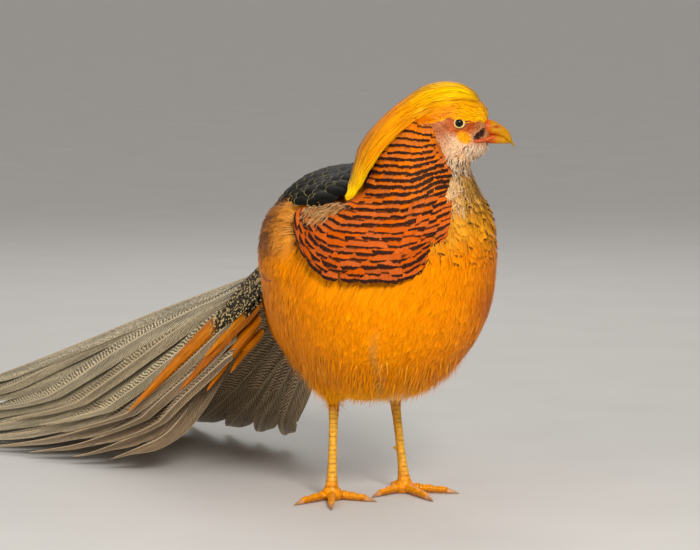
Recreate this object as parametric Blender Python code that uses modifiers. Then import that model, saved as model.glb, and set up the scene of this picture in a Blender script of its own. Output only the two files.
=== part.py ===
# Golden pheasant, adult male of the yellow-orange captive form, life size.
# A still standing bird: body faces -Y, its left side is +X, the tail runs
# back along +Y and rests on the floor, the head is turned to its left.
# Metres, +Z up, floor at z = 0, origin at the middle of the box's underside.

import math

import bmesh
import bpy
import numpy as np
from mathutils import Matrix, Vector
from mathutils.bvhtree import BVHTree

MM = 0.001
GAP = 0.3 * MM                      # clearance between touching pieces

# ---------------------------------------------------------------- sizes (mm)
HEAD_TURN = math.radians(60.0)      # head turned to the bird's left
HEAD_MID = Vector((31.8, -84.9, 304.2))   # mid-plane of the head at eye height
EYE_RADIUS = 5.7
EYE_SIDE = 10.6                     # eye centre from the mid-plane

# trunk stations along Y: y, half width, top, bottom
TRUNK_FRONT, TRUNK_BACK = -120.0, 128.0
TRUNK_WIDEST = -18.0
SECTION_WIDEST = 0.60               # height share at which a section is widest
TRUNK_STATIONS = 17
SECTION_POWER = (2.45, 2.1)         # squareness of the trunk's sections, upper and lower

# neck stations: X across the head's heading, depth, height, radius
NECK = ((25.0, -44.0, 198.0, 57.0), (38.0, -46.0, 226.0, 55.0),
        (42.0, -50.0, 245.0, 49.0), (39.5, -54.0, 261.0, 41.5),
        (38.5, -56.0, 275.0, 34.0), (43.0, -57.0, 290.0, 26.5),
        (49.0, -58.0, 304.0, 21.0))
BREAST = (54.0, -42.0, 216.0)       # upper breast, same frame as the neck

LEG_X = 33.7                        # foot centre from the mid-plane
HOCK = {"right": Vector((-24.0, 13.0, 80.0)), "left": Vector((32.0, 13.0, 80.0))}
SHANK_RADIUS = 3.6
PAD_RADIUS = 9.0
TOE_THICK = 7.4

# toes: length without claw, claw length, angle from the head's right side
TOES = {
    "right": (("middle", 43.0, 10.0, 0.0), ("inner", 31.0, 8.5, 66.0),
              ("outer", 35.0, 8.5, -43.0), ("hallux", 13.0, 6.5, 158.0)),
    "left": (("middle", 43.0, 10.0, 25.0), ("inner", 31.0, 8.5, -42.0),
             ("outer", 37.0, 8.5, 76.0), ("hallux", 13.0, 6.5, -140.0)),
}

TAIL_SWING = math.radians(12.0)     # tail swung to the bird's right
TAIL_ROOT = Vector((-8.0, 106.0, 0.0))
RIDGE_HEIGHT = 163.0                # innermost ridge height at the root
RIDGE_SLOPE = 0.320
ROOF_ANGLE = math.radians(74.0)
ROOF_RADIUS_ARC = 54.0              # arc length over which the roof turns down
FLOOR_FILLET = 42.0                 # height at which the panels ease outward
VANE = 0.6                          # rectrix thickness
PITCH = 1.45                        # spacing between the tail's layers
FEATHER_GAP = 0.4                   # least clearance between tail feathers
RECTRIX_LENGTH = (700.0, 640.0, 560.0, 470.0, 385.0, 310.0, 250.0, 205.0, 170.0)
RECTRIX_ANGLE = (1.2, 4.2, 8.2, 12.5, 17.0, 22.0, 28.0, 34.5, 42.0)
RECTRIX_HALF = (23.0, 22.0, 21.0, 20.0, 19.0, 18.5, 18.0, 17.0, 16.0)
ROOT_FIRST, ROOT_STEP = 4.0, 5.6    # root places along the arch
STATIONS = (0.5, 30.0, 70.0, 120.0, 185.0, 260.0, 340.0, 425.0, 500.0, 570.0, 640.0, 720.0)

HF = Vector((math.sin(HEAD_TURN), -math.cos(HEAD_TURN), 0.0))   # head forward
HR = Vector((HF.y, -HF.x, 0.0))                                 # head's right
UP = Vector((0.0, 0.0, 1.0))
TAIL_DIR = Vector((-math.sin(TAIL_SWING), math.cos(TAIL_SWING), 0.0))
TAIL_LAT = Vector((math.cos(TAIL_SWING), math.sin(TAIL_SWING), 0.0))


# ------------------------------------------------------------------- helpers
def clear_scene():
    for ob in list(bpy.data.objects):
        bpy.data.objects.remove(ob, do_unlink=True)


def collection(name):
    col = bpy.data.collections.new(name)
    bpy.context.scene.collection.children.link(col)
    return col


def material(name, rgb, rough=0.6, metal=0.0):
    mat = bpy.data.materials.get(name)
    if mat is None:
        mat = bpy.data.materials.new(name)
        mat.use_nodes = True
        bsdf = mat.node_tree.nodes["Principled BSDF"]
        bsdf.inputs["Base Color"].default_value = (*rgb, 1.0)
        bsdf.inputs["Roughness"].default_value = rough
        bsdf.inputs["Metallic"].default_value = metal
        mat.diffuse_color = (*rgb, 1.0)
    return mat


def smoothstep(t):
    t = min(1.0, max(0.0, t))
    return t * t * (3.0 - 2.0 * t)


def spline(points, t):
    """Catmull-Rom through equally spaced samples, t from 0 to 1."""
    n = len(points) - 1
    x = min(max(t, 0.0), 1.0) * n
    i = min(int(x), n - 1)
    u = x - i
    p0 = points[max(i - 1, 0)]
    p1, p2 = points[i], points[i + 1]
    p3 = points[min(i + 2, n)]
    return 0.5 * ((2 * p1) + (p2 - p0) * u + (2 * p0 - 5 * p1 + 4 * p2 - p3) * u ** 2
                  + (3 * p1 - p0 - 3 * p2 + p3) * u ** 3)


def mesh_from(name, verts, faces):
    me = bpy.data.meshes.new(name)
    me.from_pydata([tuple(v * MM) for v in verts], [], faces)
    me.validate()
    bm = bmesh.new()
    bm.from_mesh(me)
    bmesh.ops.remove_doubles(bm, verts=bm.verts, dist=0.02 * MM)
    bmesh.ops.recalc_face_normals(bm, faces=bm.faces)
    bm.to_mesh(me)
    bm.free()
    return me


def add_object(col, name, me, mat):
    me.shade_smooth()
    me.set_sharp_from_angle(angle=math.radians(50.0))
    me.materials.clear()
    me.materials.append(mat)
    ob = bpy.data.objects.new(name, me)
    col.objects.link(ob)
    return ob


def loft(rings, cap_start=True, cap_end=True):
    """Closed tube through rings of equal count; caps are fans to the middle."""
    verts, faces = [], []
    n = len(rings[0])
    for ring in rings:
        verts += ring
    for k in range(len(rings) - 1):
        for i in range(n):
            j = (i + 1) % n
            faces.append((k * n + i, k * n + j, (k + 1) * n + j, (k + 1) * n + i))
    for flag, base in ((cap_start, 0), (cap_end, (len(rings) - 1) * n)):
        if flag:
            mid = sum((verts[base + i] for i in range(n)), Vector()) / n
            verts.append(mid)
            m = len(verts) - 1
            for i in range(n):
                faces.append((base + i, base + (i + 1) % n, m))
    return verts, faces


def ellipsoid(centre, ax, ay, az, ra, rb, rc, seg=24, rows=14):
    rings = []
    for k in range(1, rows):
        phi = math.pi * k / rows
        ring = []
        for i in range(seg):
            th = 2 * math.pi * i / seg
            ring.append(centre + az * (rc * math.cos(phi))
                        + ax * (ra * math.sin(phi) * math.cos(th))
                        + ay * (rb * math.sin(phi) * math.sin(th)))
        rings.append(ring)
    verts, faces = loft(rings, False, False)
    n, last = seg, (len(rings) - 1) * seg
    verts += [centre + az * rc, centre - az * rc]
    top, bot = len(verts) - 2, len(verts) - 1
    for i in range(n):
        faces.append((i, (i + 1) % n, top))
        faces.append((last + i, last + (i + 1) % n, bot))
    return verts, faces


def tube(path, radii, seg=12, flatten=None):
    """Round loft along a path; radii are (a, b) pairs or single numbers."""
    rings = []
    side = None
    for k, p in enumerate(path):
        a = path[max(k - 1, 0)]
        b = path[min(k + 1, len(path) - 1)]
        tan = (b - a).normalized()
        ref = side if side is not None else (Vector((1, 0, 0)) if abs(tan.x) < 0.8 else UP)
        u = (ref - tan * ref.dot(tan)).normalized()
        v = tan.cross(u).normalized()
        side = u
        ra, rb = radii[k] if isinstance(radii[k], tuple) else (radii[k], radii[k])
        ring = [p + u * (ra * math.cos(2 * math.pi * i / seg))
                + v * (rb * math.sin(2 * math.pi * i / seg)) for i in range(seg)]
        if flatten is not None:
            ring = [Vector((q.x, q.y, max(q.z, flatten))) for q in ring]
        rings.append(ring)
    return loft(rings)


def evaluated(ob):
    deps = bpy.context.evaluated_depsgraph_get()
    return bpy.data.meshes.new_from_object(ob.evaluated_get(deps))


def scratch(name, verts, faces):
    ob = bpy.data.objects.new(name, mesh_from(name, verts, faces))
    bpy.context.scene.collection.objects.link(ob)
    return ob


def boolean(ob_mesh, cutter_mesh, operation):
    a = bpy.data.objects.new("bool_a", ob_mesh)
    b = bpy.data.objects.new("bool_b", cutter_mesh)
    for ob in (a, b):
        bpy.context.scene.collection.objects.link(ob)
    mod = a.modifiers.new("cut", "BOOLEAN")
    mod.operation = operation
    mod.object = b
    mod.solver = "EXACT"
    bpy.context.view_layer.update()
    out = evaluated(a)
    for ob in (a, b):
        bpy.data.objects.remove(ob, do_unlink=True)
    return tidy(out)


def tidy(me):
    bm = bmesh.new()
    bm.from_mesh(me)
    bmesh.ops.remove_doubles(bm, verts=bm.verts, dist=0.03 * MM)
    bmesh.ops.dissolve_degenerate(bm, edges=bm.edges, dist=0.03 * MM)
    bmesh.ops.triangulate(bm, faces=bm.faces)
    bmesh.ops.recalc_face_normals(bm, faces=bm.faces)
    bm.to_mesh(me)
    bm.free()
    return me


def keep_side(me, point, normal, shift=0.0):
    """Copy of a closed mesh with the part beyond the plane taken off."""
    bm = bmesh.new()
    bm.from_mesh(me)
    n = Vector(normal).normalized()
    geom = bm.verts[:] + bm.edges[:] + bm.faces[:]
    bmesh.ops.bisect_plane(bm, geom=geom, plane_co=(point + n * shift) * MM,
                           plane_no=n, clear_outer=True, dist=1e-7)
    rim = [e for e in bm.edges if e.is_boundary]
    bmesh.ops.holes_fill(bm, edges=rim, sides=0)
    bmesh.ops.triangulate(bm, faces=bm.faces)
    bmesh.ops.recalc_face_normals(bm, faces=bm.faces)
    out = bpy.data.meshes.new("piece")
    bm.to_mesh(out)
    bm.free()
    return out


def view_point(across, depth, z):
    """Point from its distance along the head's heading and behind it."""
    p = HF * across - HR * depth
    return Vector((p.x, p.y, z))


def head_point(f, r, u):
    return HEAD_MID + HF * f + HR * r + UP * u


# --------------------------------------------------------------- body shapes
def trunk_station(y):
    """Half width, top and bottom of the trunk at a place along Y."""
    if y < TRUNK_WIDEST:
        q = (TRUNK_WIDEST - y) / (TRUNK_WIDEST - TRUNK_FRONT)
        full = max(0.0, 1.0 - q ** 2.15) ** 0.465
        return 88.5 * full, 188.0 + 78.0 * full - 9.0 * q * (1.0 - q), 188.0 - 106.0 * full ** 1.2
    t = (y - TRUNK_WIDEST) / (TRUNK_BACK - TRUNK_WIDEST)
    half = spline([88.5, 86.5, 79.5, 67.5, 54.0, 43.0, 33.0], t)
    top = spline([266.0, 268.5, 264.0, 250.0, 229.0, 206.0, 182.0], t)
    bot = spline([82.0, 80.5, 82.0, 86.0, 93.0, 101.0, 109.0], t)
    return half, top, bot


def trunk_shape():
    rings = []
    seg = 28
    for k in range(1, TRUNK_STATIONS + 1):
        t = k / TRUNK_STATIONS
        t = t if t > 0.4 else 0.4 * (1.0 - math.cos(t / 0.4 * math.pi / 2.0))
        y = TRUNK_FRONT + (TRUNK_BACK - TRUNK_FRONT) * t
        half, top, bot = trunk_station(y)
        mid = bot + SECTION_WIDEST * (top - bot)
        ring = []
        for i in range(seg):
            th = 2 * math.pi * i / seg
            c, s = math.cos(th), math.sin(th)
            p = 2.0 / SECTION_POWER[0 if s > 0 else 1]
            semi = top - mid if s > 0 else mid - bot
            ring.append(Vector((half * math.copysign(abs(c) ** p, c), y,
                                mid + semi * math.copysign(abs(s) ** p, s))))
        rings.append(ring)
    return loft(rings)


def body_whole():
    """Trunk, neck and head as one closed shape."""
    shapes = [trunk_shape()]
    path = [view_point(a, d, z) for a, d, z, r in NECK]
    shapes.append(tube(path, [(r, 0.94 * r) for a, d, z, r in NECK], seg=24))
    shapes.append(ellipsoid(view_point(*BREAST), HF, HR, UP, 47.0, 48.0, 46.0))
    shapes.append(ellipsoid(head_point(-6, 0, 1), HF, HR, UP, 31.0, 16.4, 22.0))
    shapes.append(ellipsoid(head_point(10, 0, -6), HF, HR, UP, 19.0, 12.0, 13.0))
    shapes.append(ellipsoid(head_point(0, 0, -15), HF, HR, UP, 25.0, 14.6, 15.5))
    shapes.append(ellipsoid(head_point(-12, 0, -26), HF, HR, UP, 22.0, 17.5, 17.0))
    verts, faces = [], []
    for v, f in shapes:
        base = len(verts)
        verts += v
        faces += [tuple(base + i for i in face) for face in f]
    ob = scratch("body_whole", verts, faces)
    rem = ob.modifiers.new("remesh", "REMESH")
    rem.mode = "VOXEL"
    rem.voxel_size = 2.6 * MM
    bpy.context.view_layer.update()
    fine = evaluated(ob)
    bpy.data.objects.remove(ob, do_unlink=True)
    # light smoothing on the head, stronger where neck and breast blend
    ob = bpy.data.objects.new("body_smooth", fine)
    bpy.context.scene.collection.objects.link(ob)
    group = ob.vertex_groups.new(name="blend")
    for v in fine.vertices:
        group.add([v.index], smoothstep((282.0 - v.co.z / MM) / 34.0), "REPLACE")
    smo = ob.modifiers.new("smooth", "SMOOTH")
    smo.factor = 0.6
    smo.iterations = 8
    smo = ob.modifiers.new("smooth_body", "SMOOTH")
    smo.factor = 0.7
    smo.iterations = 60
    smo.vertex_group = "blend"
    dec = ob.modifiers.new("decimate", "DECIMATE")
    dec.ratio = 0.030
    bpy.context.view_layer.update()
    me = evaluated(ob)
    bpy.data.objects.remove(ob, do_unlink=True)
    return tidy(me)


def bvh_of(*meshes):
    bm = bmesh.new()
    for me in meshes:
        bm.from_mesh(me)
    tree = BVHTree.FromBMesh(bm)
    bm.free()
    return tree


def outer_hit(tree, origin, direction, reach=160.0):
    """Outermost surface point along a direction from an inner point."""
    d = direction.normalized()
    start = (origin + d * reach) * MM
    loc, nor, idx, dist = tree.ray_cast(start, -d)
    if loc is None:
        return None
    return loc / MM


def shell(name, grid_out, grid_in, split=False):
    """Closed plate between two grids; split cuts its cells along the shorter turn."""
    rows, cols = len(grid_out), len(grid_out[0])
    verts = [p for row in grid_out for p in row] + [p for row in grid_in for p in row]
    n = rows * cols
    faces = []
    for r in range(rows - 1):
        for c in range(cols - 1):
            a, b, e, f = r * cols + c, r * cols + c + 1, (r + 1) * cols + c + 1, (r + 1) * cols + c
            if split:
                faces += [(a, b, f), (b, e, f), (n + a, n + f, n + b), (n + b, n + f, n + e)]
            else:
                faces += [(a, b, e, f), (n + a, n + f, n + e, n + b)]
    rim = [(0, c) for c in range(cols)] + [(r, cols - 1) for r in range(1, rows)] \
        + [(rows - 1, c) for c in range(cols - 2, -1, -1)] + [(r, 0) for r in range(rows - 2, 0, -1)]
    for k in range(len(rim)):
        a = rim[k][0] * cols + rim[k][1]
        b = rim[(k + 1) % len(rim)][0] * cols + rim[(k + 1) % len(rim)][1]
        faces.append((a, n + a, n + b, b))
    return mesh_from(name, verts, faces)


def grid_shell(name, tree, rows, cols, ray, thickness, lift):
    """Shell over a surface. ray(u, v) gives origin and direction. Its inner
    side is raised until the middle of every cell and edge clears the surface."""
    def sample(c, r):
        org, direction = ray(c / (cols - 1), r / (rows - 1))
        d = direction.normalized()
        return outer_hit(tree, org, d), d

    grid = [[sample(c, r) for c in range(cols)] for r in range(rows)]
    raised = [[lift] * cols for _ in range(rows)]
    tests = []
    for r in range(rows):
        for c in range(cols):
            for dc, dr in ((1, 0), (0, 1), (1, 1)):
                if c + dc < cols and r + dr < rows:
                    hit, d = sample(c + 0.5 * dc, r + 0.5 * dr)
                    tests.append((hit, d, ((r, c), (r + dr, c + dc))))
                    if dc and dr:
                        tests.append((hit, d, ((r + 1, c), (r, c + 1))))
    for _ in range(4):
        for hit, d, ends in tests:
            mid = sum((grid[r][c][0] + grid[r][c][1] * raised[r][c] for r, c in ends), Vector()) / 2
            lack = 0.75 * lift - (mid - hit).dot(d)
            if lack > 0.0:
                for r, c in ends:
                    raised[r][c] += 0.6 * lack
    out, inn = [], []
    for r in range(rows):
        o_row, i_row = [], []
        for c in range(cols):
            hit, d = grid[r][c]
            i_row.append(hit + d * raised[r][c])
            o_row.append(hit + d * (raised[r][c] + thickness(c / (cols - 1), r / (rows - 1))))
        out.append(o_row)
        inn.append(i_row)
    return shell(name, out, inn)


# --------------------------------------------------------------------- cape
def cape_axis(z):
    return view_point(37.0 + 3.0 * smoothstep((240.0 - z) / 60.0), -52.0 + 12.0 * smoothstep((250.0 - z) / 70.0), z)


def cape_limits(v):
    """Angle from the head's right side, positive forward: near and far edge."""
    near = 36.0 - 20.0 * smoothstep((v - 0.42) / 0.5)
    return near, -200.0


def cape_hem(ang):
    """Height of the hem for an angle in degrees."""
    front = 32.0 * smoothstep((ang + 22.0) / 42.0)
    back = 88.0 * smoothstep((-ang - 44.0) / 76.0)
    return 184.0 + front + back


def cape_ray(u, v):
    near, far = cape_limits(v)
    ang = near + (far - near) * u
    top = 303.0 - 4.0 * smoothstep((ang + 20.0) / 40.0)
    z = top + (cape_hem(ang) - top) * v
    a = math.radians(ang)
    return cape_axis(z), HR * math.cos(a) + HF * math.sin(a)


def cape_mesh(tree):
    def thick(u, v):
        edge = min(1.0, 6.0 * u, 6.0 * (1.0 - u), 6.0 * v, 8.0 * (1.0 - v))
        return 1.0 + 3.6 * math.sqrt(max(edge, 0.0))
    return grid_shell("cape", tree, 10, 21, cape_ray, thick, 1.6)


# -------------------------------------------------------------------- crest
# spine of the crest inside the head and nape, in head (forward, up) offsets,
# with the outer outline reached along the given direction
CREST_SPINE = ((10.0, 2.0, 62.0), (4.0, 4.0, 80.0), (-8.0, 4.0, 95.0), (-20.0, 2.0, 112.0),
               (-27.0, -6.0, 135.0), (-29.0, -18.0, 154.0), (-30.0, -30.0, 165.0),
               (-30.0, -42.0, 172.0), (-30.0, -52.0, 176.0), (-30.0, -61.0, 178.0))
CREST_THICK = (2.5, 5.5, 7.8, 8.8, 9.2, 8.2, 8.0, 8.0, 8.0, 3.5)
CREST_SPREAD = (34.0, 52.0, 62.0, 66.0, 60.0, 46.0, 36.0, 28.0, 20.0, 10.0)
CREST_TWIST = 26.0                  # the tail end of the crest lies to the right


def crest_mesh(tree):
    fs = [c[0] for c in CREST_SPINE]
    us = [c[1] for c in CREST_SPINE]
    angs = [c[2] for c in CREST_SPINE]

    def ray(u, v):
        f, up, ang = spline(fs, v), spline(us, v), math.radians(spline(angs, v))
        out = HF * math.cos(ang) + UP * math.sin(ang)
        twist = math.radians(CREST_TWIST) * smoothstep((v - 0.4) / 0.5)
        side = math.radians(spline(list(CREST_SPREAD), v)) * (2.0 * u - 1.0) + twist
        return head_point(f, 0.0, up), out * math.cos(side) + HR * math.sin(side)

    def thick(u, v):
        edge = 1.0 - abs(2.0 * u - 1.0) ** 2.4
        return 1.0 + spline(list(CREST_THICK), v) * (0.15 + 0.85 * edge)
    return grid_shell("crest", tree, 14, 8, ray, thick, 1.2)


# -------------------------------------------------------------------- wings
def wing_mesh(tree, side):
    def ray(u, v):
        y = -18.0 + 122.0 * u
        low = 4.0 + 10.0 * u + 20.0 * max(0.0, u - 0.6)
        high = 40.0 + 4.0 * u
        ang = math.radians(high + (low - high) * v)
        z = 172.0 - 8.0 * u
        y += 7.0 * math.sin(math.pi * v) * (u - 0.5) * 2.0
        return Vector((0.0, y, z)), Vector((side * math.cos(ang), 0.0, math.sin(ang)))

    def thick(u, v):
        edge = min(1.0, 5.0 * u + 0.1, 5.0 * (1.0 - u), 5.0 * v + 0.1, 5.0 * (1.0 - v) + 0.1)
        return 0.8 + 2.2 * math.sqrt(max(edge, 0.0))
    return grid_shell("wing", tree, 6, 10, ray, thick, 1.0)


# -------------------------------------------------------------- head pieces
def bill_upper_mesh():
    rings = []
    n = 9
    for k in range(n):
        t = k / (n - 1)
        f = 21.0 + 23.8 * t
        top = spline([3.0, 3.4, 2.6, 0.4, -4.0, -10.5, -18.0], t)
        bot = spline([-9.0, -10.0, -10.8, -12.0, -14.0, -16.5, -19.2], t)
        half = spline([7.0, 6.4, 5.6, 4.7, 3.7, 2.4, 0.7], t)
        ring = []
        for i in range(10):
            th = 2 * math.pi * i / 10
            c, s = math.cos(th), math.sin(th)
            z = 0.5 * (top + bot) + 0.5 * (top - bot) * s
            ring.append(head_point(f, half * c * (1.0 if s < 0.3 else 0.9), z))
        rings.append(ring)
    return mesh_from("bill_upper", *loft(rings))


def bill_lower_mesh():
    rings = []
    n = 7
    for k in range(n):
        t = k / (n - 1)
        f = 19.0 + 19.5 * t
        top = spline([-9.6, -10.6, -11.4, -12.8, -15.6], t)
        bot = spline([-16.5, -17.0, -17.2, -17.4, -17.6], t)
        half = spline([5.6, 5.0, 4.2, 3.1, 1.2], t)
        ring = []
        for i in range(8):
            th = 2 * math.pi * i / 8
            ring.append(head_point(f, half * math.cos(th),
                                   0.5 * (top + bot) + 0.5 * (top - bot) * math.sin(th)))
        rings.append(ring)
    return mesh_from("bill_lower", *loft(rings))


def grown(me, amount):
    """Copy of a mesh moved outward along its normals."""
    out = me.copy()
    bm = bmesh.new()
    bm.from_mesh(out)
    bm.normal_update()
    moves = [(v, v.normal.copy()) for v in bm.verts]
    for v, n in moves:
        v.co += n * (amount * MM)
    bm.to_mesh(out)
    bm.free()
    return out


# --------------------------------------------------------------------- legs
def foot_centre(side):
    return Vector((LEG_X * (1 if side == "left" else -1), 0.0, 0.0))


def thigh_mesh(side):
    s = 1.0 if side == "left" else -1.0
    hock = HOCK[side]
    top = Vector((s * 33.0, -6.0, 142.0))
    path = [top + (hock - top) * t for t in (0.0, 0.14, 0.34, 0.56, 0.76, 0.92, 1.03)]
    radii = [12.0, 24.0, 30.0, 28.0, 20.5, 11.5, 5.6]
    return mesh_from("thigh", *tube(path, [(r, 1.06 * r) for r in radii], seg=12))


def shank_mesh(side):
    hock = HOCK[side]
    foot = foot_centre(side)
    base = foot + Vector((0, 0, 11.0))
    lean = (base - hock)
    start = hock + lean * 0.085
    path = [start, hock + lean * 0.16, hock + lean * 0.3, hock + lean * 0.5, hock + lean * 0.7,
            hock + lean * 0.88, base, foot + Vector((0, 0, 6.0)), foot + Vector((0, 0, 0.0))]
    r = SHANK_RADIUS
    radii = [4.6, 4.3, r + 0.1, r - 0.1, r, r + 0.5, 5.2, 7.6, PAD_RADIUS]
    rings = []
    for p, rad in zip(path, radii):
        rings.append([p + Vector((rad * math.cos(2 * math.pi * i / 12),
                                  1.08 * rad * math.sin(2 * math.pi * i / 12), 0.0)) for i in range(12)])
    me = mesh_from("shank", *loft(rings))
    # spur on the inner rear side of the shank
    s = 1.0 if side == "left" else -1.0
    at = hock + lean * 0.66
    out = Vector((-0.85 * s, 0.5, 0.12)).normalized()
    path = [at + out * 0.4, at + out * 4.4, at + out * 7.4 + UP * 0.8]
    spur = mesh_from("spur", *tube(path, [2.3, 1.5, 0.45], seg=8))
    return boolean(me, spur, "UNION")


def toe_ring(p, tan, half, height, seg=8):
    lat = Vector((-tan.y, tan.x, 0.0)).normalized()
    ring = []
    for i in range(seg):
        th = 2 * math.pi * (i + 0.5) / seg
        c, s = math.cos(th), math.sin(th)
        z = 0.5 * height * (1.0 + s / math.cos(math.pi / seg)) if s > 0 else 0.5 * height * (1.0 + s / math.sin(math.pi * 1.5 / seg * 2.0))
        ring.append(p + lat * (half * c / math.cos(math.pi / seg)) + UP * max(z, 0.0))
    return ring


def toe_direction(angle):
    a = math.radians(angle)
    return HR * math.cos(a) + HF * math.sin(a)


def toe_mesh(side, length, angle):
    foot = foot_centre(side)
    d = toe_direction(angle)
    rings = []
    n = 6
    for k in range(n):
        t = k / (n - 1)
        bulge = 1.0 + 0.07 * math.cos(2 * math.pi * 2.5 * t)
        half = (3.25 - 1.0 * t) * bulge
        height = (TOE_THICK - 2.4 * t) * bulge
        start = PAD_RADIUS * 1.08 + 0.45
        rings.append(toe_ring(foot + d * (start + (length - start) * t), d, half, height))
    return mesh_from("toe", *loft(rings))


def claw_mesh(side, length, claw, angle):
    foot = foot_centre(side)
    d = toe_direction(angle)
    rings = []
    n = 4
    for k in range(n):
        t = k / (n - 1)
        half = 1.75 * (1.0 - t) ** 0.7 + 0.3
        height = 3.8 * (1.0 - t) ** 0.8 + 0.7
        rings.append(toe_ring(foot + d * (length + 0.35 + claw * t), d, half, height, seg=6))
    return mesh_from("claw", *loft(rings))


# --------------------------------------------------------------------- tail
LAYER = {}
for _i in range(9, 3, -1):
    LAYER[("right", _i)] = LAYER[("left", _i)] = 9 - _i
for _k, _key in enumerate((("right", 3), ("left", 3), ("right", 2), ("left", 2), ("left", 1), ("right", 1))):
    LAYER[_key] = 6 + _k


def layer_tip(k):
    """Axial place of the tip of the feather in layer k."""
    for (side, i), lay in LAYER.items():
        if lay == k:
            return RECTRIX_LENGTH[i - 1] * math.cos(math.radians(RECTRIX_ANGLE[i - 1]))
    return 0.0


LAYER_TIPS = [layer_tip(k) for k in range(12)]


def layers_beneath(k, s):
    return sum(1.0 - smoothstep((s - LAYER_TIPS[j] - 8.0) / 110.0) for j in range(k))


def ridge(s):
    q = RIDGE_HEIGHT - RIDGE_SLOPE * s
    return 0.5 * (q + math.sqrt(q * q + 225.0))


def arch(s, w):
    """Cross-section of the tail's roof: sideways place, height, slope."""
    h = ridge(s)
    x, z = 0.0, h
    w = abs(w)
    steps = max(1, int(math.ceil(w / 1.5)))
    dw = w / steps
    psi = 0.0
    for k in range(steps):
        at = (k + 0.5) * dw
        psi = ROOF_ANGLE * min(1.0, at / ROOF_RADIUS_ARC) * min(1.0, max(z - 0.2, 0.0) / FLOOR_FILLET)
        x += math.cos(psi) * dw
        z -= math.sin(psi) * dw
    return x, z, psi


def tail_point(s, w, k, rise):
    """Point of layer k, ruled straight between the shared stations."""
    j = 0
    while j < len(STATIONS) - 2 and s > STATIONS[j + 1]:
        j += 1
    s0, s1 = STATIONS[j], STATIONS[j + 1]
    ends = []
    for at in (s0, s1):
        x, z, psi = arch(at, w)
        off = PITCH * layers_beneath(k, at) + 0.25 + rise
        x += math.sin(psi) * off
        z += math.cos(psi) * off
        sign = 1.0 if w >= 0 else -1.0      # positive w is the bird's right side
        p = TAIL_ROOT + TAIL_DIR * at - TAIL_LAT * (sign * x)
        ends.append(Vector((p.x, p.y, z)))
    return ends[0].lerp(ends[1], (s - s0) / (s1 - s0))


def vane_half(i, t):
    h = RECTRIX_HALF[i - 1]
    grow = 0.16 + 0.84 * smoothstep(t * RECTRIX_LENGTH[i - 1] / 85.0)
    if i <= 3:
        taper = 1.0 - 0.62 * smoothstep((t - 0.25) / 0.75) - 0.30 * smoothstep((t - 0.86) / 0.14)
    else:
        taper = 1.0 - 0.25 * smoothstep((t - 0.3) / 0.6) - 0.62 * smoothstep((t - 0.72) / 0.28)
    return max(h * grow * taper, 1.6)


def lay_over(bottom, normals, laid):
    """Raise a feather's grid until its facets clear the feathers laid before it."""
    rows, cols = len(bottom), len(bottom[0])
    shares = [(i / 8.0, j / 8.0, (8 - i - j) / 8.0) for i in range(9) for j in range(9 - i)]
    corners = []
    for r in range(rows - 1):
        for c in range(cols - 1):
            corners.append(((r, c), (r, c + 1), (r + 1, c)))
            corners.append(((r, c + 1), (r + 1, c + 1), (r + 1, c)))
    for _ in range(14):
        lift = {}
        for ends in corners:
            for share in shares:
                p, d = Vector(), Vector()
                for (r, c), q in zip(ends, share):
                    p += bottom[r][c] * q
                    d += normals[r][c] * q
                d.normalize()
                loc = laid.ray_cast((p + d * 12.0) * MM, -d, 20.0 * MM)[0]
                if loc is None:
                    continue
                lack = FEATHER_GAP - (p - loc / MM).dot(d)
                if lack > 0.0:
                    for key, q in zip(ends, share):
                        if q > 0.0:
                            lift[key] = max(lift.get(key, 0.0), lack)
        if not lift:
            return
        for (r, c), amount in lift.items():
            bottom[r][c] += normals[r][c] * amount


def rectrix_mesh(side, i, laid):
    sign = 1.0 if side == "right" else -1.0
    ang = math.radians(RECTRIX_ANGLE[i - 1])
    length = RECTRIX_LENGTH[i - 1]
    k = LAYER[(side, i)]
    cols = 5 if i <= 2 else 4
    tip = length * math.cos(ang)
    stations = list(STATIONS)
    if i >= 3:                          # steeper feathers need shorter cells
        stations += [0.5 * (a + b) for a, b in zip(STATIONS, STATIONS[1:])]
    rows = [s for s in sorted(stations) if s < tip - 12.0] + [tip]
    bottom, normals = [], []
    for s in rows:
        half = vane_half(i, s / tip) / math.cos(ang)
        mid = ROOT_FIRST + ROOT_STEP * (i - 1) + s * math.tan(ang)
        across = [mid + half * (2.0 * c / (cols - 1) - 1.0) for c in range(cols)]
        bottom.append([tail_point(s, sign * w, k, 0.0) for w in across])
        normals.append([(tail_point(s, sign * w, k, 1.0) - tail_point(s, sign * w, k, 0.0)).normalized()
                        for w in across])
    if laid:
        lay_over(bottom, normals, bvh_of(*laid))
    top = [[p + d * VANE for p, d in zip(row, dirs)] for row, dirs in zip(bottom, normals)]
    return shell("rectrix", top, bottom, split=True)


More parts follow.
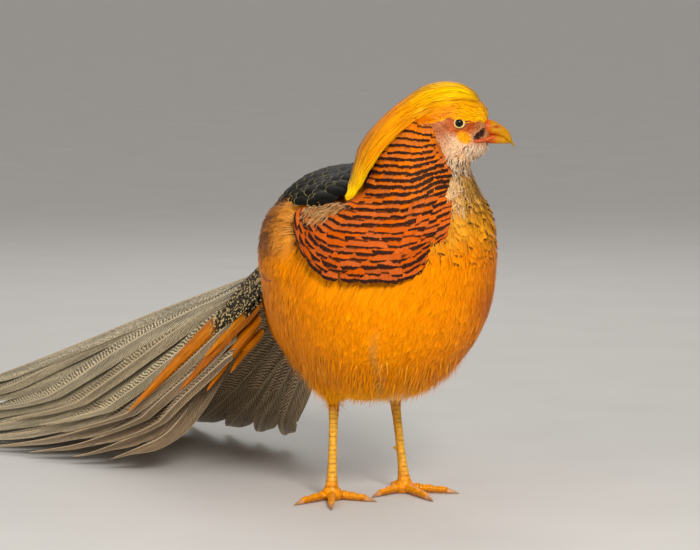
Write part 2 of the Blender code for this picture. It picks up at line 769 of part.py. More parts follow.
# ---------------------------------------------------------------------- main
def main():
    clear_scene()
    parts = collection("golden_pheasant")

    orange = material("breast_plumage", (0.80, 0.36, 0.01), 0.55)
    gold = material("crest_plumage", (0.88, 0.50, 0.01), 0.45)
    barred = material("cape_plumage", (0.80, 0.22, 0.02), 0.5)
    buff = material("face_plumage", (0.72, 0.48, 0.30), 0.7)
    brown = material("wing_plumage", (0.30, 0.14, 0.04), 0.6)
    tailm = material("tail_plumage", (0.36, 0.28, 0.19), 0.65)
    scaly = material("leg_scales", (0.62, 0.36, 0.06), 0.4)
    horn = material("bill_horn", (0.70, 0.42, 0.06), 0.35)
    clawm = material("claw_horn", (0.62, 0.40, 0.20), 0.4)
    eyem = material("eye_surface", (0.75, 0.62, 0.35), 0.1)

    whole = body_whole()
    bill_up, bill_low = bill_upper_mesh(), bill_lower_mesh()

    # thin cuts between head, neck, trunk and rump
    cut_head = (head_point(-14.0, 0.0, -26.0), (HF * -0.30 + UP * -0.95))
    cut_neck = (Vector((8.0, -62.0, 250.0)), Vector((0.12, -0.36, 0.925)))
    cut_rump = (Vector((0.0, 74.0, 165.0)), Vector((0.0, 1.0, -0.12)))
    cut_tail = (TAIL_ROOT.copy(), TAIL_DIR.copy())

    def flip(v):
        return v * -1.0

    head = keep_side(whole, cut_head[0], cut_head[1], -0.5 * 0.35)
    neck = keep_side(whole, cut_head[0], flip(cut_head[1]), -0.5 * 0.35)
    neck = keep_side(neck, cut_neck[0], flip(cut_neck[1]), -0.5 * 0.35)
    trunk = keep_side(whole, cut_neck[0], cut_neck[1], -0.5 * 0.35)
    trunk = keep_side(trunk, cut_rump[0], cut_rump[1], -0.5 * 0.35)
    rump = keep_side(whole, cut_rump[0], flip(cut_rump[1]), -0.5 * 0.35)
    rump = keep_side(rump, cut_tail[0], cut_tail[1], -0.1)

    # eyes sit in sockets, the bill in the front of the face
    eyes = {}
    for side, r in (("right", 1.0), ("left", -1.0)):
        centre = head_point(0.0, r * EYE_SIDE, 0.0)
        eyes[side] = mesh_from("eye", *ellipsoid(centre, HF, UP, HR, EYE_RADIUS, EYE_RADIUS,
                                                 EYE_RADIUS, seg=14, rows=7))
        socket = mesh_from("socket", *ellipsoid(centre, HF, UP, HR, EYE_RADIUS + 0.45, EYE_RADIUS + 0.45,
                                                EYE_RADIUS + 0.45, seg=14, rows=7))
        head = boolean(head, socket, "DIFFERENCE")
    for piece in (bill_up, bill_low):
        head = boolean(head, grown(piece, 0.4), "DIFFERENCE")
    bill_low = boolean(bill_low, grown(bill_up, 0.35), "DIFFERENCE")

    for side in ("right", "left"):
        thigh = thigh_mesh(side)
        trunk = boolean(trunk, grown(thigh, 0.45), "DIFFERENCE")
        add_object(parts, "thigh_" + side, thigh, orange)
        shank = shank_mesh(side)
        shank = boolean(shank, grown(thigh, 0.45), "DIFFERENCE")
        add_object(parts, "shank_" + side, shank, scaly)
        for toe, length, claw, angle in TOES[side]:
            add_object(parts, "toe_%s_%s" % (toe, side), toe_mesh(side, length, angle), scaly)
            add_object(parts, "claw_%s_%s" % (toe, side), claw_mesh(side, length, claw, angle), clawm)

    body_tree = bvh_of(whole)
    cape = cape_mesh(body_tree)
    crest = crest_mesh(bvh_of(whole, cape))
    add_object(parts, "head", head, buff)
    add_object(parts, "neck", neck, orange)
    add_object(parts, "trunk", trunk, orange)
    add_object(parts, "rump", rump, gold)
    add_object(parts, "cape", cape, barred)
    add_object(parts, "crest", crest, gold)
    for side, s in (("right", -1.0), ("left", 1.0)):
        add_object(parts, "wing_" + side, wing_mesh(body_tree, s), brown)
        add_object(parts, "eye_" + side, eyes[side], eyem)
    add_object(parts, "bill_upper", bill_up, horn)
    add_object(parts, "bill_lower", bill_low, horn)

    laid, feathers = [], {}
    for key in sorted(LAYER, key=lambda item: (LAYER[item], item[0])):
        feathers[key] = rectrix_mesh(key[0], key[1], laid)
        laid.append(feathers[key])
    for side in ("right", "left"):
        for i in range(1, 10):
            add_object(parts, "rectrix_%s_%d" % (side, i), feathers[(side, i)], tailm)

    # origin to the middle of the underside of the whole bird
    low = [min(v.co[k] for ob in parts.objects for v in ob.data.vertices) for k in range(3)]
    high = [max(v.co[k] for ob in parts.objects for v in ob.data.vertices) for k in range(3)]
    shift = Vector((-0.5 * (low[0] + high[0]), -0.5 * (low[1] + high[1]), -low[2]))
    for ob in parts.objects:
        ob.data.transform(Matrix.Translation(shift))
        ob.data.update()


main()
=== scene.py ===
"""Looks of a life-size male golden pheasant: skin, feathers, eyes, bill and legs."""
import math

import bmesh
import bpy
import numpy as np
from mathutils import Matrix, Vector
from mathutils.bvhtree import BVHTree


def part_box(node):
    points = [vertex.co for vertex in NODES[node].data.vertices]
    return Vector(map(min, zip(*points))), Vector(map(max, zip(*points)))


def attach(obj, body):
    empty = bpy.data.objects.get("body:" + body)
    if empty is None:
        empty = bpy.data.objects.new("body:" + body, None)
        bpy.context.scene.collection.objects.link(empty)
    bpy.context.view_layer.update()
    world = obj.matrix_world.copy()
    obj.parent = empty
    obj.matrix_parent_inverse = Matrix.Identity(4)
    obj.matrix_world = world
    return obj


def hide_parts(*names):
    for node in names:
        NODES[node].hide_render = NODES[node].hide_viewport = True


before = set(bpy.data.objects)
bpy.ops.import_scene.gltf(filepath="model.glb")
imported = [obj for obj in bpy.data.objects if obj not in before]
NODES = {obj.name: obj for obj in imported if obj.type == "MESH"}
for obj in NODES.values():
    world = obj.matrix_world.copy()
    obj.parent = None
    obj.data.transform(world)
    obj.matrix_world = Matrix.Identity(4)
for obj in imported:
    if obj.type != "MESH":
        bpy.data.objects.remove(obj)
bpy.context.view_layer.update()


rng = np.random.default_rng(20)

# ------------------------------------------------------------- bird's frame
# millimetres, bird facing -Y, its left side at +X, floor at z = 0
HEAD_TURN = math.radians(60.0)
HEAD_MID = np.array((31.8, -84.9, 304.2))
EYE_RADIUS, EYE_SIDE = 5.7, 10.6
HF = np.array((math.sin(HEAD_TURN), -math.cos(HEAD_TURN), 0.0))    # head forward
HR = np.array((HF[1], -HF[0], 0.0))                                # head's right side
UP = np.array((0.0, 0.0, 1.0))
TAIL_SWING = math.radians(12.0)
TAIL_ROOT = np.array((-8.0, 106.0, 0.0))
TAIL_DIR = np.array((-math.sin(TAIL_SWING), math.cos(TAIL_SWING), 0.0))
TAIL_LAT = np.array((math.cos(TAIL_SWING), math.sin(TAIL_SWING), 0.0))
THROAT = np.array((42.0, -54.0, 287.0))


def head_point(f, r, u):
    return HEAD_MID + HF * f + HR * r + UP * u


_lo, _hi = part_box("eye_right")
OFF = np.array((_lo + _hi) * 0.5) - head_point(0.0, EYE_SIDE, 0.0) * 0.001


def to_model(p):
    return np.asarray(p) * 0.001 + OFF


def from_model(p):
    return (np.asarray(p) - OFF) * 1000.0


def smoothstep(t):
    t = np.clip(t, 0.0, 1.0)
    return t * t * (3.0 - 2.0 * t)


def unit(v):
    v = np.asarray(v, float)
    return v / np.maximum(np.linalg.norm(v, axis=-1, keepdims=True), 1e-9)


def spline(points, t):
    pts = np.asarray(points, float)
    n = len(pts) - 1
    x = np.clip(np.asarray(t, float), 0.0, 1.0) * n
    i = np.minimum(x.astype(int), n - 1)
    u = x - i
    if pts.ndim > 1:
        u = u[..., None]
    p0, p1 = pts[np.maximum(i - 1, 0)], pts[i]
    p2, p3 = pts[i + 1], pts[np.minimum(i + 2, n)]
    return 0.5 * (2 * p1 + (p2 - p0) * u + (2 * p0 - 5 * p1 + 4 * p2 - p3) * u ** 2
                  + (3 * p1 - p0 - 3 * p2 + p3) * u ** 3)


def srgb(r, g, b):
    c = np.array((r, g, b), float) / 255.0
    return np.where(c <= 0.04045, c / 12.92, ((c + 0.055) / 1.055) ** 2.4)


def mix(a, b, t):
    t = np.asarray(t)[..., None]
    return a * (1.0 - t) + b * t


# ------------------------------------------------------------ mesh building
def build(name, verts, quads, mat, tris=None, attrs=None, uv=None, smooth=True):
    """Object from millimetre vertices; attrs are per vertex, uv is per vertex."""
    me = bpy.data.meshes.new(name)
    verts = to_model(verts)
    quads = np.asarray(quads, np.int32).reshape(-1, 4)
    tris = np.zeros((0, 3), np.int32) if tris is None else np.asarray(tris, np.int32).reshape(-1, 3)
    loops = np.concatenate((quads.ravel(), tris.ravel()))
    starts = np.concatenate((np.arange(len(quads)) * 4, len(quads) * 4 + np.arange(len(tris)) * 3))
    me.vertices.add(len(verts))
    me.vertices.foreach_set("co", verts.astype(np.float32).ravel())
    me.loops.add(len(loops))
    me.loops.foreach_set("vertex_index", loops)
    me.polygons.add(len(starts))
    me.polygons.foreach_set("loop_start", starts.astype(np.int32))
    me.update(calc_edges=True)
    for key, val in (attrs or {}).items():
        val = np.asarray(val, np.float32)
        if val.ndim == 1:
            me.attributes.new(key, 'FLOAT', 'POINT').data.foreach_set("value", val)
        elif key == "fv":
            me.attributes.new(key, 'FLOAT_VECTOR', 'POINT').data.foreach_set("vector", val.ravel())
        else:
            rgba = np.concatenate((val, np.ones((len(val), 1), np.float32)), 1)
            me.attributes.new(key, 'FLOAT_COLOR', 'POINT').data.foreach_set("color", rgba.ravel())
    if uv is not None:
        layer = me.uv_layers.new(name="OFBake")
        layer.data.foreach_set("uv", np.asarray(uv, np.float32)[loops].ravel())
    me.validate()
    if smooth:
        me.polygons.foreach_set("use_smooth", np.ones(len(me.polygons), bool))
    me.materials.append(mat)
    ob = bpy.data.objects.new(name, me)
    bpy.context.scene.collection.objects.link(ob)
    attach(ob, "root")
    return ob


def vanes(c, n, half, cols=3, cup=0.10, ragged=0.0, ridge=0.0, slant=None):
    """Vane grids over centre lines c (m,k,3) with normals n and half widths (m,k)."""
    m, k = half.shape
    t = np.gradient(c, axis=1)
    t = unit(t)
    b = unit(np.cross(t, n))
    nn = unit(np.cross(b, t))
    cs = np.linspace(-1.0, 1.0, cols)
    w = half[:, :, None] * cs[None, None, :]
    v = c[:, :, None, :] + b[:, :, None, :] * w[..., None]
    drop = cup * half[:, :, None] * (cs ** 2)[None, None, :] - ridge * (1.0 - np.abs(cs))[None, None, :]
    v = v - nn[:, :, None, :] * drop[..., None]
    if slant is not None:
        ramp = np.linspace(0.0, 1.0, k)[None, :, None] ** 0.7
        v = v + t[:, :, None, :] * (slant[:, None, None] * w * ramp)[..., None]
    if ragged:
        push = rng.normal(0.0, ragged, (m, cols))
        v[:, -1] += t[:, -1][:, None, :] * push[..., None]
        v[:, -2] += t[:, -2][:, None, :] * (0.5 * push)[..., None]
    base = np.arange(m) * (k * cols)
    r, q = np.meshgrid(np.arange(k - 1), np.arange(cols - 1), indexing="ij")
    a = (r * cols + q).ravel()
    cell = np.stack((a, a + 1, a + cols + 1, a + cols), 1)
    quads = (base[:, None, None] + cell[None]).reshape(-1, 4)
    seg = np.linalg.norm(np.diff(c, axis=1), axis=2)
    along = np.concatenate((np.zeros((m, 1)), np.cumsum(seg, 1)), 1)
    tot = along[:, -1:]
    full = (m, k, cols)
    rnd = rng.random(m)
    attrs = {
        "u": np.broadcast_to((along / np.maximum(tot, 1e-6))[:, :, None], full).ravel(),
        "v": np.broadcast_to(cs[None, None, :], full).ravel(),
        "tip": np.broadcast_to((tot - along)[:, :, None], full).ravel(),
        "edge": np.minimum(half[:, :, None] * (1.0 - np.abs(cs))[None, None, :],
                           np.broadcast_to((tot - along)[:, :, None], full)).ravel(),
        "rnd": np.broadcast_to(rnd[:, None, None], full).ravel(),
        "fv": np.stack((w, np.broadcast_to(along[:, :, None], full),
                        np.broadcast_to((rnd * 97.0)[:, None, None], full)), -1).reshape(-1, 3),
    }
    return v.reshape(-1, 3), quads, attrs


def spread(values, k, cols):
    """Per-feather values repeated for each of its vertices."""
    return np.repeat(values, k * cols, axis=0)


def patch_uv(root_uv, attrs, k, cols, size):
    """Each feather is a small patch at its root's place on the unwrap."""
    uv = spread(root_uv, k, cols)
    uv = uv + np.stack(((attrs["v"] * 0.5) * size, (attrs["u"] - 0.5) * size), 1)
    return np.clip(uv, 0.001, 0.999)


def atlas_uv(m, attrs, k, cols):
    """Feathers with a pattern get their own cells, in the order they lie."""
    side = int(math.ceil(math.sqrt(m)))
    cell = 1.0 / side
    i = spread(np.arange(m), k, cols)
    x = (i % side + 0.5 + attrs["v"] * 0.44) * cell
    y = (i // side + 0.06 + attrs["u"] * 0.88) * cell
    return np.stack((x, y), 1)


# ---------------------------------------------------------------- materials
class Nodes:
    """Short way to write a node tree."""

    def __init__(self, name, rough=0.5, **constants):
        self.mat = bpy.data.materials.new(name)
        self.mat.use_nodes = True
        self.nt = self.mat.node_tree
        self.bsdf = self.nt.nodes["Principled BSDF"]
        self.bsdf.inputs["Roughness"].default_value = rough
        for key, val in constants.items():
            self.bsdf.inputs[key.replace("_", " ")].default_value = val

    def put(self, socket, value):
        if hasattr(value, "is_output"):
            self.nt.links.new(value, socket)
        elif isinstance(value, (tuple, list, np.ndarray)) and len(value) == 3 and socket.type == 'RGBA':
            socket.default_value = (float(value[0]), float(value[1]), float(value[2]), 1.0)
        else:
            socket.default_value = value

    def attr(self, name, out="Fac"):
        n = self.nt.nodes.new("ShaderNodeAttribute")
        n.attribute_name = name
        return n.outputs[out]

    def math(self, op, a, b=0.0, c=0.0, clamp=False):
        n = self.nt.nodes.new("ShaderNodeMath")
        n.operation = op
        n.use_clamp = clamp
        self.put(n.inputs[0], a)
        self.put(n.inputs[1], b)
        self.put(n.inputs[2], c)
        return n.outputs[0]

    def span(self, value, lo, hi, out_lo=0.0, out_hi=1.0, smooth=True):
        n = self.nt.nodes.new("ShaderNodeMapRange")
        n.interpolation_type = 'SMOOTHSTEP' if smooth else 'LINEAR'
        for key, val in (("Value", value), ("From Min", lo), ("From Max", hi),
                         ("To Min", out_lo), ("To Max", out_hi)):
            self.put(n.inputs[key], val)
        return n.outputs[0]

    def vmul(self, vec, scale):
        n = self.nt.nodes.new("ShaderNodeVectorMath")
        n.operation = 'MULTIPLY'
        self.put(n.inputs[0], vec)
        n.inputs[1].default_value = scale
        return n.outputs[0]

    def noise(self, vec, scale=1.0, detail=2.0, rough=0.5):
        n = self.nt.nodes.new("ShaderNodeTexNoise")
        self.put(n.inputs["Vector"], vec)
        n.inputs["Scale"].default_value = scale
        n.inputs["Detail"].default_value = detail
        n.inputs["Roughness"].default_value = rough
        return n.outputs[0]

    def voronoi(self, vec, scale=1.0, feature='DISTANCE_TO_EDGE'):
        n = self.nt.nodes.new("ShaderNodeTexVoronoi")
        n.feature = feature
        self.put(n.inputs["Vector"], vec)
        n.inputs["Scale"].default_value = scale
        return n.outputs["Distance"]

    def place(self):
        n = self.nt.nodes.new("ShaderNodeNewGeometry")
        return n.outputs["Position"]

    def blend(self, fac, a, b, mode='MIX'):
        n = self.nt.nodes.new("ShaderNodeMix")
        n.data_type = 'RGBA'
        n.blend_type = mode
        n.clamp_factor = True
        self.put(n.inputs[0], fac)
        self.put(n.inputs[6], a)
        self.put(n.inputs[7], b)
        return n.outputs[2]

    def shade(self, colour, value):
        """Colour times a number."""
        n = self.nt.nodes.new("ShaderNodeVectorMath")
        n.operation = 'SCALE'
        self.put(n.inputs[0], colour)
        self.put(n.inputs["Scale"], value)
        return n.outputs[0]

    def bump(self, height, strength=0.3, distance=0.0004):
        n = self.nt.nodes.new("ShaderNodeBump")
        self.put(n.inputs["Height"], height)
        n.inputs["Strength"].default_value = strength
        n.inputs["Distance"].default_value = distance
        self.nt.links.new(n.outputs[0], self.bsdf.inputs["Normal"])

    def colour(self, value):
        self.put(self.bsdf.inputs["Base Color"], value)
        return self.mat

    def roughness(self, value):
        self.put(self.bsdf.inputs["Roughness"], value)


def plume_material(name, rough=0.5, root=0.62, tip=1.08, streak=0.20, spec=0.35, fade=0.55,
                   gleam=(1.0, 0.62, 0.16, 1.0)):
    """Feather or barb whose colour comes from its root's region."""
    g = Nodes(name, rough, Specular_IOR_Level=spec, Specular_Tint=gleam)
    tint = g.attr("tint", "Color")
    barb = g.noise(g.vmul(g.attr("fv", "Vector"), (1.9, 0.10, 1.0)), 1.0, 3.0, 0.6)
    fine = g.noise(g.vmul(g.attr("fv", "Vector"), (5.0, 0.22, 1.0)), 1.0, 2.0, 0.5)
    # painted shade and light: each feather is darker towards its root, where it lies under the feathers above it, and a
    # little brighter at the tip
    level = g.math('MULTIPLY', g.span(g.attr("u"), 0.0, fade, root, 1.0),
                   g.span(g.attr("u"), 0.7, 1.0, 1.0, tip))
    level = g.math('MULTIPLY', level, g.span(barb, 0.3, 0.7, 1.0 - streak, 1.0 + streak))
    level = g.math('MULTIPLY', level, g.span(g.attr("rnd"), 0.0, 1.0, 0.93, 1.07, False))
    g.bump(g.math('ADD', barb, g.math('MULTIPLY', fine, 0.5)), 0.35, 0.0003)
    g.roughness(g.span(fine, 0.3, 0.7, rough - 0.07, rough + 0.08))
    return g.colour(g.shade(tint, level))


# ----------------------------------------------------------------- surfaces
class Surface:
    """Closed or open mesh, in millimetres, with smooth face normals."""

    def __init__(self, me):
        self.v = np.empty(len(me.vertices) * 3)
        me.vertices.foreach_get("co", self.v)
        self.v = from_model(self.v.reshape(-1, 3))
        self.n = np.empty(len(me.vertices) * 3)
        me.vertices.foreach_get("normal", self.n)
        self.n = self.n.reshape(-1, 3)
        me.calc_loop_triangles()
        self.f = np.empty(len(me.loop_triangles) * 3, np.int32)
        me.loop_triangles.foreach_get("vertices", self.f)
        self.f = self.f.reshape(-1, 3)
        self.fn = unit(self.n[self.f].sum(1))
        self.tree = BVHTree.FromPolygons(self.v.tolist(), self.f.tolist())
        e = self.v[self.f]
        self.area = 0.5 * np.linalg.norm(np.cross(e[:, 1] - e[:, 0], e[:, 2] - e[:, 0]), axis=1)

    def nearest(self, p):
        out = np.empty((len(p), 3))
        idx = np.zeros(len(p), int)
        find = self.tree.find_nearest
        for i, q in enumerate(p.tolist()):
            loc, _, k, _ = find(q)
            out[i] = loc
            idx[i] = k
        return out, self.fn[idx], idx

    def sample(self, count, weight=None):
        w = self.area if weight is None else self.area * weight
        idx = rng.choice(len(self.f), count, p=w / w.sum())
        a, b = rng.random(count), rng.random(count)
        flip = a + b > 1.0
        a[flip], b[flip] = 1.0 - a[flip], 1.0 - b[flip]
        t = self.v[self.f[idx]]
        return t[:, 0] + (t[:, 1] - t[:, 0]) * a[:, None] + (t[:, 2] - t[:, 0]) * b[:, None], self.fn[idx], idx


def drape(surf, start, field, length, steps, sway=0.0):
    """Lines that run over a surface along a field: places and normals."""
    pos, nrm, idx = surf.nearest(start)
    first = idx
    places, normals = [pos], [nrm]
    sway = rng.normal(0.0, 1.0, len(start)) * sway
    for k in range(steps):
        d = field(pos)
        d = unit(d - nrm * (d * nrm).sum(1, keepdims=True))
        d = unit(d + np.cross(nrm, d) * sway[:, None])
        pos, nrm, idx = surf.nearest(pos + d * (length / steps)[:, None])
        places.append(pos)
        normals.append(nrm)
    return np.stack(places, 1), np.stack(normals, 1), first


def joined_mesh(names, extra=()):
    bm = bmesh.new()
    for name in names:
        bm.from_mesh(NODES[name].data)
    for me in extra:
        bm.from_mesh(me)
    bmesh.ops.remove_doubles(bm, verts=bm.verts, dist=2e-6)
    me = bpy.data.meshes.new("joined")
    bm.to_mesh(me)
    bm.free()
    return me


def remeshed(me, voxel, smooth, factor=0.5):
    ob = bpy.data.objects.new("temp", me)
    bpy.context.scene.collection.objects.link(ob)
    m = ob.modifiers.new("r", 'REMESH')
    m.mode = 'VOXEL'
    m.voxel_size = voxel
    if smooth:
        s = ob.modifiers.new("s", 'SMOOTH')
        s.factor = factor
        s.iterations = smooth
    dg = bpy.context.evaluated_depsgraph_get()
    out = bpy.data.meshes.new_from_object(ob.evaluated_get(dg))
    bpy.data.objects.remove(ob)
    return out


def ball_mesh(centre, radii, seg=20, rows=12):
    bm = bmesh.new()
    bmesh.ops.create_uvsphere(bm, u_segments=seg, v_segments=rows, radius=1.0)
    m = np.stack((HF, HR, UP), 1)
    for v in bm.verts:
        v.co = Vector(to_model(centre + m @ (np.array(v.co) * np.array(radii))))
    me = bpy.data.meshes.new("ball")
    bm.to_mesh(me)
    bm.free()
    return me


def tube(path, radii, seg=8, flat=None):
    """Vertices and quads of a tube; flat scales the second radius."""
    path = np.asarray(path, float)
    t = unit(np.gradient(path, axis=0))
    ref = UP if abs(t[0, 2]) < 0.8 else HF
    a = unit(np.cross(t, ref))
    b = unit(np.cross(t, a))
    th = np.linspace(0, 2 * math.pi, seg, endpoint=False)
    radii = np.asarray(radii, float)
    flat = np.ones(len(path)) if flat is None else np.asarray(flat, float)
    v = path[:, None] + a[:, None] * (radii[:, None] * np.cos(th))[..., None] \
        + b[:, None] * ((radii * flat)[:, None] * np.sin(th))[..., None]
    k = len(path)
    quads = [(r * seg + i, r * seg + (i + 1) % seg, (r + 1) * seg + (i + 1) % seg, (r + 1) * seg + i)
             for r in range(k - 1) for i in range(seg)]
    return v.reshape(-1, 3), np.array(quads)


# ------------------------------------------------------------------- colours
ORANGE = srgb(236, 140, 0)
DEEP = srgb(224, 132, 0)
GOLD = srgb(250, 172, 0)
BUFF_YELLOW = srgb(222, 158, 44)
BROWN_ORANGE = srgb(196, 116, 38)
DARK_BROWN = srgb(92, 50, 22)
PALE = srgb(236, 214, 176)
CHEEK = srgb(206, 146, 104)
CHEEK_PALE = srgb(230, 188, 148)
SKIN_RED = srgb(190, 88, 28)
PATCH = srgb(250, 164, 10)
BRISTLE = srgb(70, 40, 32)


def head_parts(p):
    q = p - HEAD_MID
    return q @ HF, q @ HR, q[:, 2]


def blob(x, y, cx, cy, rx, ry, soft=0.5):
    d = np.sqrt(((x - cx) / rx) ** 2 + ((y - cy) / ry) ** 2)
    return 1.0 - smoothstep((d - 1.0 + soft) / (2.0 * soft))


def head_share(p):
    """1 on the face, 0 on neck and body."""
    f, r, u = head_parts(p)
    low = -27.0 + 0.25 * (f - 5.0)
    return smoothstep((u - low) / 5.0) * smoothstep((f + 27.0) / 5.0)


def golden_edge(f):
    """Height of the lower edge of the golden forehead and temple."""
    return np.interp(f, (-60.0, -48.0, -36.0, -24.0, -18.0, -12.0, -8.0, -2.4, 5.6, 12.0, 17.6, 23.0, 27.0),
                     (-16.0, -8.0, -1.5, -1.8, -0.6, 1.4, 3.9, 4.9, 4.7, 1.6, -0.6, -2.2, 1.0))


def face_colour(p):
    f, r, u = head_parts(p)
    c = mix(CHEEK, CHEEK_PALE, blob(f, u, -3.0, -19.0, 15.0, 10.0, 0.6))
    c = mix(c, srgb(222, 148, 106), blob(f, u, -15.0, -14.0, 7.0, 7.0, 0.6) * 0.5)
    c = mix(c, srgb(198, 112, 66), blob(f, u, -16.0, -3.0, 7.5, 7.0, 0.5) * 0.75)
    c = mix(c, srgb(210, 142, 90), blob(f, u, 16.0, -2.0, 8.0, 6.0, 0.5))
    c = mix(c, SKIN_RED, blob(f, u, 1.5, -0.6, 13.0, 9.0, 0.35))
    c = mix(c, PATCH, blob(f, u + 0.25 * (f - 4.0), 4.2, -11.4, 5.6, 4.6, 0.3))
    c = mix(c, srgb(214, 96, 44), blob(f, u, 23.5, -3.5, 3.0, 5.0, 0.4))
    c = mix(c, BRISTLE, blob(f, u - 0.75 * (f - 16.0), 16.0, -8.0, 4.4, 1.9, 0.35))
    c = mix(c, GOLD, smoothstep((u - golden_edge(f)) / 1.5))
    chin = smoothstep((-17.0 - u) / 4.0) * smoothstep((f - 9.0) / 6.0)
    c = mix(c, srgb(176, 140, 108), chin * 0.8)
    fringe = blob(f, u, -2.0, -32.0, 10.0, 6.0, 0.6)
    return mix(c, srgb(120, 84, 60), fringe * 0.45)


def body_colour(p):
    x, y, z = p[:, 0], p[:, 1], p[:, 2]
    wob = 7.0 * np.sin(x * 0.11 + 1.3) + 6.0 * np.sin(y * 0.13 + z * 0.07)
    c = mix(DEEP, ORANGE, smoothstep((z + 0.4 * wob - 96.0) / 55.0))
    # buff yellow of the upper breast and lower neck
    upper = smoothstep((z + 0.5 * wob - 206.0) / 22.0) * smoothstep((-y - 52.0) / 18.0)
    c = mix(c, mix(BUFF_YELLOW, srgb(214, 150, 20), smoothstep((x - 18.0) / 26.0)), upper * 0.8)
    # painted shade: a darker orange patch low on the front of the bird's left flank
    shade = blob(x, z, 47.0, 168.0, 13.0, 12.0, 0.8) * (y < -40.0)
    c = mix(c, srgb(206, 108, 6), shade * 0.8)
    # back and rump
    back = smoothstep((z + wob - 214.0) / 16.0) * smoothstep((y + 10.0) / 14.0)
    rump = smoothstep((y - 70.0) / 20.0)
    c = mix(c, GOLD, np.maximum(back, rump * 0.85))
    # brown-orange shoulder in front of the wing
    side = smoothstep((np.abs(x) - 58.0) / 12.0)
    sh = side * smoothstep((y + 58.0) / 16.0) * smoothstep((z - 196.0) / 12.0) * (1.0 - smoothstep((y - 60.0) / 30.0))
    c = mix(c, BROWN_ORANGE, sh * 0.85)
    dark = side * smoothstep((y - 4.0 + wob * 0.5) / 12.0) * smoothstep((z - 200.0) / 14.0) \
        * (1.0 - smoothstep((y - 62.0) / 24.0))
    c = mix(c, DARK_BROWN, dark * 0.7)
    # painted shade: the flank behind the wing edge and under the belly is made deeper
    c = mix(c, srgb(214, 112, 6), smoothstep((y - 10.0) / 40.0) * smoothstep((190.0 - z) / 50.0) * 0.55)
    # yellow rim over the legs and pale vent between them
    c = mix(c, GOLD, smoothstep((104.0 - z) / 16.0) * 0.75)
    seam = np.interp(z, (96.0, 99.0, 130.0, 147.0, 152.0), (-20.0, -24.5, -42.0, -45.0, -45.0))
    cleft = (1.0 - smoothstep((np.abs(x - seam) - 1.2) / 2.4)) * smoothstep((158.0 - z) / 26.0) * (y < -40.0)
    c = mix(c, srgb(206, 150, 66), cleft * 0.5)
    vent = blob(x, y, -2.0, -34.0, 9.0, 26.0, 0.4) * smoothstep((100.0 - z) / 12.0)
    c = mix(c, PALE, vent * 0.75)
    return c


def coat_colour(p):
    neck = smoothstep((-0.25 * (p[:, 1] + 60) + 268.0 - p[:, 2]) / 8.0)
    c = body_colour(p)
    # pale throat side and upper neck in front
    q = smoothstep((p[:, 2] - 232.0) / 22.0) * smoothstep((-p[:, 1] - 58.0) / 12.0)
    near_cape = smoothstep((34.0 - p[:, 0]) / 16.0)
    c = mix(c, mix(BUFF_YELLOW, srgb(222, 186, 140), 0.85), q * (0.35 + 0.65 * near_cape))
    return mix(c, face_colour(p), head_share(p))


# --------------------------------------------------------------------- skin
FLESH = ("head", "neck", "trunk", "rump", "thigh_right", "thigh_left")
plug = ball_mesh(head_point(20.0, 0.0, -8.0), (6.0, 5.6, 7.4))
outer_mesh = remeshed(joined_mesh(FLESH + ("eye_right", "eye_left"), (plug,)), 0.0021, 9)
OUTER = Surface(outer_mesh)


def coat_depth(p):
    f, r, u = head_parts(p)
    near_head = smoothstep((46.0 - np.sqrt(f * f + r * r + (u + 4.0) ** 2)) / 22.0)
    body = 6.0 - 2.5 * smoothstep((100.0 - p[:, 2]) / 20.0)
    return body * (1.0 - near_head) + 1.2 * near_head


def unwrap(ob):
    bpy.context.view_layer.objects.active = ob
    for o in bpy.context.selected_objects:
        o.select_set(False)
    ob.select_set(True)
    bpy.ops.object.mode_set(mode='EDIT')
    bpy.ops.mesh.select_all(action='SELECT')
    bpy.ops.uv.smart_project(angle_limit=1.25, island_margin=0.002)
    bpy.ops.object.mode_set(mode='OBJECT')
    ob.select_set(False)


def skin_material():
    g = Nodes("skin_under_feathers", 0.6, Specular_IOR_Level=0.3)
    tint = g.attr("tint", "Color")
    pos = g.place()
    pores = g.noise(g.vmul(pos, (900.0, 900.0, 900.0)), 1.0, 3.0)
    folds = g.voronoi(g.vmul(pos, (620.0, 620.0, 900.0)), 1.0)
    down = g.noise(g.vmul(pos, (320.0, 320.0, 90.0)), 1.0, 3.0)
    level = g.math('MULTIPLY', g.span(down, 0.3, 0.7, 0.62, 0.95), g.span(folds, 0.0, 0.25, 0.8, 1.0))
    level = g.math('MAXIMUM', level, g.math('MULTIPLY', g.attr("bare"), g.span(folds, 0.0, 0.2, 0.72, 1.05)))
    g.bump(g.math('ADD', pores, g.span(folds, 0.0, 0.3, 0.0, 0.8)), 0.6, 0.0005)
    return g.colour(g.shade(tint, level))


def make_skin():
    p = OUTER.v
    n = OUTER.n
    q = p - n * coat_depth(p)[:, None]
    me = outer_mesh
    polys = np.empty(len(me.loops), np.int32)
    me.loops.foreach_get("vertex_index", polys)
    starts = np.empty(len(me.polygons), np.int32)
    me.polygons.foreach_get("loop_start", starts)
    total = np.diff(np.append(starts, len(polys)))
    quad = starts[total == 4]
    tri = starts[total == 3]
    quads = polys[quad[:, None] + np.arange(4)]
    tris = polys[tri[:, None] + np.arange(3)]
    f, r, u = head_parts(p)
    bare = blob(f, u, 1.5, 1.0, 12.5, 9.0, 0.2)
    tint = coat_colour(p)
    ob = build("skin", q, quads, skin_material(), tris=tris,
               attrs={"tint": tint, "bare": bare})
    unwrap(ob)
    layer = ob.data.uv_layers.active
    layer.name = "OFBake"
    uv = np.empty(len(ob.data.loops) * 2)
    layer.data.foreach_get("uv", uv)
    uv = uv.reshape(-1, 2)
    vi = np.empty(len(ob.data.loops), np.int32)
    ob.data.loops.foreach_get("vertex_index", vi)
    per = np.zeros((len(ob.data.vertices), 2))
    per[vi] = uv                      # one of the vertex's places on the unwrap
    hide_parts(*FLESH)
    return ob, per


SKIN, SKIN_UV = make_skin()


def root_uv(idx):
    return SKIN_UV[OUTER.f[idx, 0]]


